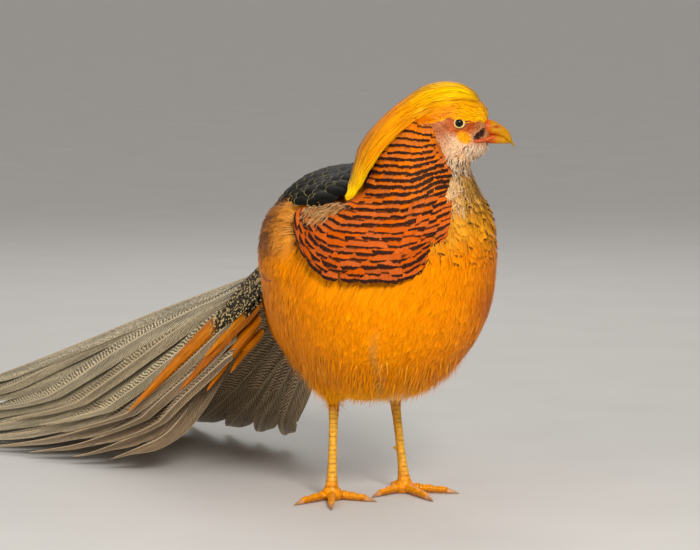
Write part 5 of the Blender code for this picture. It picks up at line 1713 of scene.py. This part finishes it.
def make_loose():
    mat = bpy.data.materials["tail_feather"]
    k, cols = 70, 9
    t = np.linspace(0, 1, k)
    cs = np.linspace(-1, 1, cols)
    for at, (a0, a1, h, net, tint, side) in enumerate(LOOSE):
        bend = rng.normal(0.0, 3.0)
        s1 = a0[0] + (a1[0] - a0[0]) * t
        mid = a0[1] + (a1[1] - a0[1]) * t ** 1.15 + bend * np.sin(math.pi * t) + 2.2 * np.sin(t * 7.0 + at)
        half = 1.30 * h * np.interp(t, (0, 0.12, 0.5, 0.85, 0.96, 1.0), (0.55, 0.9, 1.0, 0.66, 0.34, 0.06))
        ss = np.maximum(s1[:, None] - 0.35 * half[:, None] * np.abs(cs)[None] ** 1.5, 0.5)
        ww = mid[:, None] + half[:, None] * cs[None]
        p, n = tail_grid(ss, side * ww, 9)
        raise_by = 1.3 * smoothstep(t / 0.06)[:, None] - 0.4 + 0.4 * smoothstep(t / 0.06)[:, None] + 0.35 * (at % 3) + 0.5 * (1.0 - cs ** 2)[None] * np.minimum(half / 6.0, 1.0)[:, None]
        p = p + n * raise_by[..., None]
        p[..., 2] = np.maximum(p[..., 2], 0.5)
        m = k * cols
        r_, q_ = np.meshgrid(np.arange(k - 1), np.arange(cols - 1), indexing="ij")
        c0 = (r_ * cols + q_).ravel()
        quads = np.stack((c0, c0 + 1, c0 + cols + 1, c0 + cols), 1)
        edge = np.minimum(half[:, None] * (1 - np.abs(cs))[None], np.repeat(((1 - t) * (a1[0] - a0[0]))[:, None], cols, 1))
        att = {"fv": np.stack(((half[:, None] * cs[None]).ravel(), ss.ravel(), np.full(m, 31.0 + 7.0 * at)), 1),
               "tint": np.tile(tint * rng.uniform(0.9, 1.05), (m, 1)), "mark": np.tile(srgb(80, 62, 40), (m, 1)),
               "edge": edge.ravel(), "net": np.full(m, net)}
        uv = np.stack((0.02 + 0.96 * (np.tile(cs, k) * 0.5 + 0.5), 0.02 + 0.96 * np.repeat(t, cols)), 1)
        build("tail_loose_%d" % (at + 1), p.reshape(-1, 3), quads, mat, attrs=att, uv=uv)


make_loose()


# ------------------------------------------------- orange upper tail coverts
def covert_material():
    g = Nodes("orange_covert", 0.42, Specular_IOR_Level=0.3, Specular_Tint=(1.0, 0.6, 0.2, 1.0))
    fv = g.attr("fv", "Vector")
    barb = g.noise(g.vmul(fv, (2.4, 0.1, 1.0)), 1.0, 3.0, 0.6)
    n = g.nt.nodes.new("ShaderNodeSeparateXYZ")
    g.nt.links.new(fv, n.inputs[0])
    lat = g.math('ABSOLUTE', n.outputs[0])
    level = g.math('MULTIPLY', g.span(barb, 0.3, 0.7, 0.55, 1.22), g.span(lat, 0.0, 3.0, 1.15, 0.85))
    base = g.shade(g.attr("tint", "Color"), level)
    spot = g.span(g.noise(g.vmul(fv, (0.52, 0.42, 1.0)), 1.0, 1.0, 0.5), 0.40, 0.47)
    net = g.blend(spot, srgb(200, 176, 122), srgb(22, 18, 15))
    past = g.math('SUBTRACT', g.math('ADD', g.attr("u"), g.math('MULTIPLY', barb, 0.08)), g.attr("spotted"))
    where = g.math('SUBTRACT', 1.0, g.span(past, 0.0, 0.07))
    col = g.blend(where, base, net)
    g.bump(barb, 0.6, 0.0004)
    return g.colour(col)


COVERT_1 = ((-46.0, 74.0, 172.0), (-50.8, 100.0, 151.0), (-56.0, 126.0, 131.0), (-66.5, 152.0, 108.0),
            (-80.0, 183.0, 78.0), (-95.5, 219.6, 42.5))
COVERT_2 = ((-47.0, 82.0, 150.0), (-51.5, 98.0, 134.5), (-55.5, 112.0, 120.0), (-65.0, 130.0, 99.0),
            (-77.5, 159.5, 68.5))
COVERT_3 = ((-46.0, 84.0, 136.0), (-50.5, 94.0, 122.0), (-55.5, 104.0, 107.0), (-62.0, 116.0, 88.0),
            (-68.5, 127.0, 70.0))
COVERT_4 = ((-44.0, 84.0, 124.0), (-48.5, 92.0, 112.0), (-52.5, 99.0, 100.0), (-57.5, 107.0, 86.0))
# path on the bird's right side, shift up the tail's side, part of the length, half width,
# share of its length that is black with cream spots, tint
COVERTS = (
    (COVERT_1, 9.5, 0.40, 6.5, 1.3, srgb(196, 112, 2)),
    (COVERT_1, 4.5, 0.52, 6.5, 1.3, srgb(196, 112, 2)),
    (COVERT_1, 1.0, 1.00, 5.6, 0.40, srgb(206, 116, 0)),
    (COVERT_1, -2.5, 0.90, 4.6, 0.42, srgb(184, 98, 0)),
    (COVERT_1, -6.0, 0.50, 5.0, 1.3, srgb(184, 98, 0)),
    (COVERT_2, 4.0, 0.80, 4.4, 0.30, srgb(206, 120, 0)),
    (COVERT_2, 0.0, 1.00, 5.4, 0.0, srgb(196, 104, 0)),
    (COVERT_2, -3.5, 0.86, 4.0, 0.0, srgb(178, 92, 0)),
    (COVERT_3, 1.0, 1.00, 4.2, 0.0, srgb(200, 108, 0)),
    (COVERT_3, -2.5, 0.85, 3.4, 0.0, srgb(172, 88, 0)),
    (COVERT_4, 2.0, 1.00, 3.6, 0.0, srgb(202, 112, 0)),
    (COVERT_4, -2.0, 0.80, 3.0, 0.0, srgb(176, 92, 0)),
)


def make_coverts():
    mat = covert_material()
    k, cols = 26, 7
    c, nn, half, tint, spot = [], [], [], [], []
    axis_p = TAIL_ROOT.copy()
    t = np.linspace(0, 1, k)
    for mirror in (False, True):
        for at, (path, shift, share, h, s, col) in enumerate(COVERTS):
            pts = spline(path, np.linspace(0, share, 7)) + np.array((0.27, 0.06, 0.96)) * shift
            out = np.array((-0.93, -0.10, 0.34))
            if mirror:
                d = (pts - axis_p) @ TAIL_LAT
                pts = pts - TAIL_LAT * (2.0 * d)[:, None]
                out = out - TAIL_LAT * (2.0 * (out @ TAIL_LAT))
            line = spline(pts, t)
            c.append(line + out * (7.2 + 0.45 * (at % 3) + 5.0 * smoothstep(t * share / 0.55))[:, None])
            nn.append(np.broadcast_to(unit(out), line.shape).copy())
            half.append(1.35 * h * np.interp(t, (0, 0.25, 0.6, 0.85, 0.95, 1.0), (0.7, 1.0, 0.95, 0.55, 0.28, 0.05)))
            tint.append(col * rng.uniform(0.9, 1.1))
            spot.append(s)
    c, nn, half = np.stack(c), np.stack(nn), np.stack(half)
    v, q, a = vanes(c, nn, half, cols, 0.12, 0.4)
    a["tint"] = spread(np.array(tint), k, cols)
    a["spotted"] = spread(np.array(spot), k, cols)
    build("tail_coverts", v, q, mat, attrs=a, uv=atlas_uv(len(c), a, k, cols))


make_coverts()


# --------------------------------------------------------------------- eyes
def eye_material():
    g = Nodes("eye", 0.03, Specular_IOR_Level=0.2)
    r, u = g.attr("ring"), g.attr("turn")
    fib = g.noise(g.vmul(g.attr("fv", "Vector"), (7.0, 7.0, 1.0)), 1.0, 3.0, 0.6)
    iris = g.blend(g.span(fib, 0.3, 0.7), srgb(226, 192, 96), srgb(242, 222, 150))
    iris = g.blend(g.span(r, 4.1, 4.9), iris, srgb(196, 150, 70))
    rr = g.math('ADD', r, g.math('MULTIPLY', g.math('SUBTRACT', fib, 0.5), 0.25))
    col = g.blend(g.span(rr, 3.05, 3.30), srgb(8, 6, 6), iris)
    col = g.blend(g.span(r, 4.85, 5.15), col, srgb(44, 24, 14))
    return g.colour(col)


def make_eye(name, side):
    centre = head_point(0.0, side * EYE_SIDE, 0.0)
    axis = HR * side
    verts, quads, ring, fv = [], [], [], []
    seg, rows = 48, 24
    for j in range(rows + 1):
        th = math.pi * j / rows
        for i in range(seg):
            ph = 2 * math.pi * i / seg
            a = math.sin(th) * EYE_RADIUS
            bulge = 0.25 * smoothstep((1.0 - a / 4.6)) if th < math.pi / 2 else 0.0
            p = centre + axis * (math.cos(th) * EYE_RADIUS + bulge) + HF * (a * math.cos(ph)) + UP * (a * math.sin(ph))
            verts.append(p)
            ring.append(a if th < math.pi / 2 else 6.0)
            fv.append((math.cos(ph) * 1.0, math.sin(ph) * 1.0, a * 0.4))
    for j in range(rows):
        for i in range(seg):
            quads.append((j * seg + i, j * seg + (i + 1) % seg, (j + 1) * seg + (i + 1) % seg, (j + 1) * seg + i))
    v = np.array(verts)
    ob = build("eyeball_" + name, v, quads, EYE_MAT,
               attrs={"ring": np.array(ring), "turn": np.zeros(len(v)), "fv": np.array(fv)})
    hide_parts("eye_" + name)


EYE_MAT = eye_material()
make_eye("right", 1.0)
make_eye("left", -1.0)


def bare_material():
    g = Nodes("bare_face_skin", 0.42, Specular_IOR_Level=0.45)
    pos = g.place()
    folds = g.voronoi(g.vmul(pos, (1300.0, 1300.0, 1600.0)), 1.0)
    tone = g.noise(g.vmul(pos, (260.0, 260.0, 260.0)), 1.0, 3.0)
    level = g.math('MULTIPLY', g.span(folds, 0.0, 0.18, 0.70, 1.05), g.span(tone, 0.3, 0.7, 0.8, 1.15))
    g.bump(g.span(folds, 0.0, 0.25), 0.5, 0.0004)
    return g.colour(g.shade(g.attr("tint", "Color"), level))


BARE = bare_material()
SKIN_SURF = Surface(SKIN.data)


def make_lids(name, side):
    """Upper and lower lid, with folds, from the eye's opening out to the face."""
    centre = head_point(0.0, side * EYE_SIDE, 0.0)
    axis = HR * side
    seg, rows = 64, 14
    verts, quads, tint = [], [], []
    for i in range(seg):
        ph = 2 * math.pi * i / seg
        c, s = math.cos(ph), math.sin(ph)
        corner = abs(c) ** 6
        open_r = 1.0 / math.sqrt((c / 5.05) ** 2 + (s / 4.25) ** 2) + 0.35 * corner
        out_r = 1.0 / math.sqrt((c / 12.0) ** 2 + (s / 8.4) ** 2)
        far = centre + HF * (c * out_r) + UP * (s * out_r)
        hit = SKIN_SURF.tree.ray_cast(tuple(far + axis * 20.0), tuple(-axis), 30.0)[0]
        h_out = float((np.array(hit) - centre) @ axis) - 0.6 if hit is not None else 1.0
        for j in range(rows):
            t = j / (rows - 1)
            r = open_r + (out_r - open_r) * t ** 1.3
            ball = math.sqrt(max(EYE_RADIUS ** 2 - min(r, EYE_RADIUS - 0.05) ** 2, 0.0))
            h0 = math.sqrt(max(EYE_RADIUS ** 2 - open_r ** 2, 0.3)) + 0.35
            q = centre + HF * (c * r) + UP * (s * r)
            h2 = SKIN_SURF.tree.ray_cast(tuple(q + axis * 20.0), tuple(-axis), 30.0)[0]
            h_skin = float((np.array(h2) - centre) @ axis) if h2 is not None else h_out
            rim = math.sin(min(t * 5.0, 1.0) * math.pi) * 0.30
            fold = 0.20 * math.sin(t * 15.0 + 0.8 * math.sin(2 * ph)) * math.exp(-2.0 * t)
            h = h0 * (1 - smoothstep(t * 2.2)) + (h_skin + 0.35 * (1 - t) - 0.5 * smoothstep((t - 0.75) * 4.0)) * smoothstep(t * 2.2)
            if t < 0.02:
                h = h0 - 0.45
            h = max(h, ball + 0.04) if r < EYE_RADIUS else h
            verts.append(q + axis * (h + rim + fold))
            tt = mix(srgb(120, 58, 24), srgb(206, 96, 30), smoothstep(t * 3.0))
            tt = mix(tt, srgb(196, 92, 34), smoothstep((t - 0.5) * 2.0))
            tint.append(tt)
    for i in range(seg):
        for j in range(rows - 1):
            a, b = i * rows + j, ((i + 1) % seg) * rows + j
            quads.append((a, b, b + 1, a + 1) if side > 0 else (a, a + 1, b + 1, b))
    build("eyelids_" + name, np.array(verts), quads, BARE, attrs={"tint": np.array(tint)})


make_lids("right", 1.0)
make_lids("left", -1.0)


# --------------------------------------------------------------------- bill
def bill_material():
    g = Nodes("bill_horn", 0.38, Specular_IOR_Level=0.18)
    pos = g.place()
    tone = g.noise(g.vmul(pos, (420.0, 420.0, 420.0)), 1.0, 3.0)
    grain = g.noise(g.vmul(g.attr("fv", "Vector"), (0.35, 3.2, 3.2)), 1.0, 3.0)
    level = g.math('MULTIPLY', g.span(tone, 0.3, 0.7, 0.86, 1.1), g.span(grain, 0.3, 0.7, 0.88, 1.1))
    g.bump(grain, 0.35, 0.0002)
    return g.colour(g.shade(g.attr("tint", "Color"), level))


def make_bill():
    mat = bill_material()
    red, ochre, tipc = srgb(200, 74, 8), srgb(188, 126, 0), srgb(156, 112, 0)
    for name, n, seg, f0, fl, tops, bots, halves in (
            ("upper", 44, 28, 20.6, 22.8, (2.4, 2.0, 0.6, -1.7, -4.3, -8.2, -17.9), (-9.8, -10.0, -10.3, -11.2, -12.9, -15.8, -19.4), (7.0, 6.4, 5.6, 4.7, 3.7, 2.4, 0.45)),
            ("lower", 34, 24, 17.0, 23.0, (-9.4, -9.6, -9.9, -11.0, -14.4), (-16.3, -16.8, -17.0, -17.0, -16.9), (5.6, 4.8, 3.7, 2.4, 0.4))):
        verts, tint, fv = [], [], []
        for k in range(n):
            t = k / (n - 1)
            f = f0 + fl * t
            top, bot, half = float(spline(tops, t)), float(spline(bots, t)), float(spline(halves, t))
            for i in range(seg):
                th = 2 * math.pi * i / seg
                c, s = math.cos(th), math.sin(th)
                cc = math.copysign(abs(c) ** 0.92, c)
                z = 0.5 * (top + bot) + 0.5 * (top - bot) * s
                r = half * cc * (1.0 if s < 0.1 else 1.0 - 0.16 * (s - 0.1))
                if name == "upper":
                    d = ((f - 29.3) / 3.4) ** 2 + ((z + 3.6) / 1.15) ** 2
                    dent = math.exp(-d * 1.2) * 1.25
                    flap = math.exp(-(((f - 28.5) / 4.0) ** 2 + ((z + 1.9) / 1.4) ** 2)) * 0.7
                    edge = math.exp(-((z - bot - 0.9) / 0.8) ** 2) * 0.28 * (1 - t)
                    r = math.copysign(max(abs(r) - dent + flap + edge, 0.0), c)
                verts.append(head_point(f, r, z))
                col = mix(red, ochre, smoothstep((t - 0.02) / 0.30) if name == "upper" else smoothstep((t - 0.3) / 0.4))
                if name == "upper":
                    col = mix(col, red, 0.8 * smoothstep((bot + 2.6 - z) / 1.2) * (1.0 - smoothstep((t - 0.35) / 0.3)))
                col = mix(col, tipc, smoothstep((t - 0.75) / 0.25))
                if name == "upper":
                    col = mix(col, srgb(150, 40, 24), min(1.0, math.exp(-(((f - 29.3) / 3.0) ** 2 + ((z + 3.7) / 0.9) ** 2) * 1.3) * 1.3))
                    col = mix(col, srgb(214, 112, 26), 0.5 * smoothstep((z - top + 1.6) / 1.4) * (1 - t))
                tint.append(col)
                fv.append((f, z, r))
        quads = [(k * seg + i, k * seg + (i + 1) % seg, (k + 1) * seg + (i + 1) % seg, (k + 1) * seg + i)
                 for k in range(n - 1) for i in range(seg)]
        m = len(verts)
        verts.append(np.mean(verts[:seg], 0))
        verts.append(np.mean(verts[m - seg:m], 0) + HF * 0.3 + UP * -0.2)
        tint += [tint[0], tint[m - 1]]
        fv += [fv[0], fv[m - 1]]
        tris = [(m, (i + 1) % seg, i) for i in range(seg)] + [(m + 1, m - seg + i, m - seg + (i + 1) % seg) for i in range(seg)]
        ob = build("bill_" + name + "_horn", np.array(verts), quads, mat, tris=tris,
                   attrs={"tint": np.array(tint), "fv": np.array(fv)})
        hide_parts("bill_" + name)
    # fleshy gape line from the bill back under the eye, both sides
    verts, quads, tint, count = [], [], [], 0
    for side in (1.0, -1.0):
        path = []
        for t in np.linspace(0, 1, 14):
            f = 10.5 + 17.0 * t
            u = -14.2 + 3.0 * t - 0.9 * math.sin(t * math.pi)
            q = head_point(f, 0.0, u)
            hit = OUTER.tree.ray_cast(tuple(q + HR * side * 30.0), tuple(-HR * side), 30.0)[0]
            r = float((np.array(hit) - q) @ (HR * side)) if hit is not None else 5.0
            r_bill = float(np.interp(f, (21.0, 28.0), (6.3, 5.0)))
            r = r * (1 - smoothstep((f - 19.0) / 4.0)) + r_bill * smoothstep((f - 19.0) / 4.0)
            path.append(head_point(f, side * (r + 0.1), u))
        rad = np.interp(np.linspace(0, 1, 14), (0, 0.15, 0.6, 1.0), (0.6, 1.5, 1.9, 0.5))
        tv, tq = tube(path, rad, 10)
        verts.append(tv)
        quads.append(tq + count)
        count += len(tv)
        tt = np.repeat(np.linspace(0, 1, 14), 10)
        tint.append(mix(srgb(196, 70, 26), srgb(226, 108, 22), tt))
    build("gape_fold", np.concatenate(verts), np.concatenate(quads), BARE,
          attrs={"tint": np.concatenate(tint)})


make_bill()


# ------------------------------------------------------------- legs and feet
LEG_X, SHANK_RADIUS, PAD_RADIUS = 33.7, 3.6, 9.0
TOES = {
    "right": (("middle", 43.0, 10.0, 0.0), ("inner", 31.0, 8.5, 66.0),
              ("outer", 35.0, 8.5, -43.0), ("hallux", 13.0, 6.5, 158.0)),
    "left": (("middle", 43.0, 10.0, 25.0), ("inner", 31.0, 8.5, -42.0),
             ("outer", 37.0, 8.5, 76.0), ("hallux", 13.0, 6.5, -140.0)),
}


def toe_dir(angle):
    a = math.radians(angle)
    return HR * math.cos(a) + HF * math.sin(a)


def leg_material():
    g = Nodes("leg_scales", 0.34, Specular_IOR_Level=0.32, Specular_Tint=(1.0, 0.86, 0.6, 1.0), Coat_Weight=0.08, Coat_Roughness=0.25)
    pos = g.place()
    cell = g.voronoi(g.vmul(pos, (900.0, 900.0, 900.0)), 1.0)
    tone = g.noise(g.vmul(pos, (240.0, 240.0, 240.0)), 1.0, 3.0)
    groove = g.attr("groove")
    small = g.math('MULTIPLY', g.math('SUBTRACT', 1.0, g.span(cell, 0.0, 0.16)), g.attr("net"))
    dark = g.math('MAXIMUM', groove, small)
    base = g.shade(g.attr("tint", "Color"), g.span(tone, 0.3, 0.7, 0.82, 1.16))
    g.bump(g.math('SUBTRACT', g.span(tone, 0.2, 0.8, 0.0, 0.4), dark), 0.6, 0.0004)
    return g.colour(g.blend(g.math('MULTIPLY', dark, 0.55), base, srgb(110, 62, 14)))


def make_leg(side):
    names = ["shank_" + side] + ["toe_%s_%s" % (t, side) for t in ("middle", "inner", "outer", "hallux")]
    foot = np.array((LEG_X if side == "left" else -LEG_X, 0.0, 0.0))
    extra = []
    for toe, length, claw, angle in TOES[side]:
        d = toe_dir(angle)
        extra.append(ball_mesh(foot + d * 11.0 + UP * 4.0, (4.0, 4.0, 3.6), 12, 8))
    extra.append(ball_mesh(HOCK[side] + UP * 3.0, (5.0, 5.0, 9.0), 14, 10))
    me = remeshed(joined_mesh(names, extra), 0.00075, 5, 0.5)
    s = Surface(me)
    p, n = s.v.copy(), s.n.copy()
    hock = HOCK[side]
    base = foot + UP * 11.0
    lean = base - hock
    ln = np.linalg.norm(lean)
    axis = lean / ln
    best = np.full(len(p), 1e9)
    along, around, kind = np.zeros(len(p)), np.zeros(len(p)), np.zeros(len(p))
    t = (p - hock) @ axis
    q = p - hock - axis[None] * t[:, None]
    dist = np.linalg.norm(q, axis=1) + np.maximum(t - ln, 0.0) * 2.0
    front = unit(np.array((0.35, -1.0, 0.0)) * np.array((1.0 if side == "left" else -1.0, 1.0, 1.0)))
    best = dist
    along = t.copy()
    around = (unit(q) @ front)
    for toe, length, claw, angle in TOES[side]:
        d = toe_dir(angle)
        tt = np.clip((p - foot) @ d, 4.0, length + 1.0)
        qq = p - foot - d[None] * tt[:, None] - UP * 3.0
        dd = np.linalg.norm(qq, axis=1)
        use = (dd < best) & (p[:, 2] < 13.0)
        best = np.where(use, dd, best)
        along = np.where(use, tt, along)
        around = np.where(use, unit(qq)[:, 2], around)
        kind = np.where(use, 1.0, kind)
    pitch = np.where(kind > 0.5, 2.7, 3.6)
    ph = (along / pitch) % 1.0
    plate = smoothstep((around - 0.05) / 0.3)
    saw = (1.0 - ph) * 0.32 - 0.30 * np.exp(-(np.minimum(ph, 1.0 - ph) / 0.07) ** 2)
    back = smoothstep((-around - 0.1) / 0.3)
    pads = 0.30 * np.sin(along * 2 * math.pi / 7.0) * back * kind
    disp = plate * saw + pads * 0.5
    p2 = p + n * (disp - 0.12)[:, None]
    p2[:, 2] = np.maximum(p2[:, 2], 0.0)
    groove = plate * np.exp(-(np.minimum(ph, 1.0 - ph) / 0.085) ** 2)
    z = p[:, 2]
    tint = mix(srgb(234, 146, 2), srgb(214, 150, 30), smoothstep((z - 10.0) / 14.0))
    # painted highlight: paler yellow down the front of the shank
    tint = mix(tint, srgb(232, 176, 60), 0.5 * smoothstep((around - 0.5) / 0.4) * (z > 14.0))
    tint = mix(tint, srgb(206, 114, 4), smoothstep((4.0 - z) / 3.0) * 0.6)
    tint = mix(tint, srgb(186, 120, 52), smoothstep((z - 66.0) / 10.0) * 0.8)
    spur = smoothstep((dist - 5.4) / 1.5) * (np.abs(z - 33.0) < 9.0) * (kind < 0.5)
    tint = mix(tint, srgb(196, 150, 96), spur)
    f = s.f
    ob = build("leg_" + side, p2, np.zeros((0, 4)), LEG_MAT, tris=f,
               attrs={"tint": tint, "groove": groove * (1 - spur), "net": (1.0 - plate) * (1 - spur)})
    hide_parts(*names)


LEG_MAT = leg_material()
make_leg("right")
make_leg("left")


def claw_material():
    g = Nodes("claw_horn", 0.34, Specular_IOR_Level=0.5)
    grain = g.noise(g.vmul(g.attr("fv", "Vector"), (0.5, 3.0, 3.0)), 1.0, 3.0)
    col = g.blend(g.attr("u"), srgb(214, 152, 92), srgb(150, 104, 66))
    g.bump(grain, 0.4, 0.0002)
    return g.colour(g.shade(col, g.span(grain, 0.3, 0.7, 0.8, 1.15)))


def make_claws():
    mat = claw_material()
    for side in ("right", "left"):
        foot = np.array((LEG_X if side == "left" else -LEG_X, 0.0, 0.0))
        for toe, length, claw, angle in TOES[side]:
            d = toe_dir(angle)
            lat = np.array((-d[1], d[0], 0.0))
            n, seg = 14, 12
            verts, fv, uu = [], [], []
            for k in range(n):
                t = k / (n - 1)
                half = 1.95 * (1.0 - t) ** 0.75 + 0.16
                height = 4.0 * (1.0 - t) ** 0.85 + 0.4
                at = foot + d * (length - 1.2 + (claw + 1.2) * t)
                low = 0.25 * math.sin(math.pi * t)
                for i in range(seg):
                    th = 2 * math.pi * i / seg
                    c, s = math.cos(th), math.sin(th)
                    z = low + 0.5 * height * (1.0 + s)
                    verts.append(at + lat * (half * c * (1.0 - 0.2 * s)) + UP * max(z, 0.0))
                    fv.append((k * 1.0, c, s))
                    uu.append(t)
            quads = [(k * seg + i, k * seg + (i + 1) % seg, (k + 1) * seg + (i + 1) % seg, (k + 1) * seg + i)
                     for k in range(n - 1) for i in range(seg)]
            m = len(verts)
            verts += [np.mean(verts[:seg], 0), np.mean(verts[m - seg:m], 0) + d * 0.25]
            fv += [fv[0], fv[-1]]
            uu += [0.0, 1.0]
            tris = [(m, (i + 1) % seg, i) for i in range(seg)] + [(m + 1, m - seg + i, m - seg + (i + 1) % seg) for i in range(seg)]
            ob = build("horn_%s_%s" % (toe, side), np.array(verts), quads, mat, tris=tris,
                       attrs={"fv": np.array(fv), "u": np.array(uu)})
            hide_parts("claw_%s_%s" % (toe, side))


make_claws()


# ---------------------------------------------------- floor, light and camera
def make_stage():
    me = bpy.data.meshes.new("floor")
    s = 60.0
    me.from_pydata([(-s, -s, 0), (s, -s, 0), (s, s, 0), (-s, s, 0)], [], [(0, 1, 2, 3)])
    g = Nodes("floor_pale", 0.9, Specular_IOR_Level=0.1)
    tone = g.noise(g.vmul(g.place(), (9.0, 9.0, 9.0)), 1.0, 3.0)
    mat = g.colour(g.blend(tone, (0.60, 0.59, 0.57), (0.66, 0.65, 0.63)))
    me.materials.append(mat)
    floor = bpy.data.objects.new("floor", me)
    bpy.context.scene.collection.objects.link(floor)
    floor.location.z = -0.0004
    world = bpy.data.worlds.new("studio")
    bpy.context.scene.world = world
    world.use_nodes = True
    bg = world.node_tree.nodes["Background"]
    bg.inputs[0].default_value = (1.0, 0.97, 0.93, 1.0)
    bg.inputs[1].default_value = 0.46

    def area(name, place, target, size, power, colour=(1.0, 1.0, 1.0)):
        light = bpy.data.lights.new(name, 'AREA')
        light.size = size
        light.energy = power
        light.color = colour
        ob = bpy.data.objects.new(name, light)
        bpy.context.scene.collection.objects.link(ob)
        at, to = Vector(place), Vector(target)
        ob.matrix_world = Matrix.Translation(at) @ (to - at).to_track_quat('-Z', 'Y').to_matrix().to_4x4()

    mid = tuple(to_model(np.array((0.0, -20.0, 190.0))))
    area("key", to_model(np.array((-500.0, -1900.0, 1250.0))), mid, 0.55, 38.0, (1.0, 0.97, 0.92))
    area("fill", to_model(np.array((-1900.0, -700.0, 700.0))), mid, 1.2, 10.0, (1.0, 0.98, 0.95))
    area("rim", to_model(np.array((700.0, 1400.0, 1500.0))), mid, 1.0, 8.0, (1.0, 1.0, 1.0))


def make_camera():
    a, e, dist = math.radians(30.0), math.radians(6.0), 2.6
    r = np.array((math.cos(a), -math.sin(a), 0.0))
    level = np.array((math.sin(a), math.cos(a), 0.0))
    v = level * math.cos(e) + np.array((0.0, 0.0, -math.sin(e)))
    u = np.cross(r, v)
    target = r * -0.01450325 + np.array((0.0, 0.0, 0.17823756))
    at = target - v * dist + OFF
    cam = bpy.data.cameras.new("camera")
    cam.lens = 3250.0 * 36.0 / 700.0
    cam.sensor_width = 36.0
    ob = bpy.data.objects.new("camera", cam)
    bpy.context.scene.collection.objects.link(ob)
    m = Matrix((tuple(r), tuple(u), tuple(-v))).transposed().to_4x4()
    m.translation = Vector(at)
    ob.matrix_world = m
    bpy.context.scene.camera = ob


make_stage()
make_camera()
bpy.context.scene.view_settings.view_transform = "Standard"
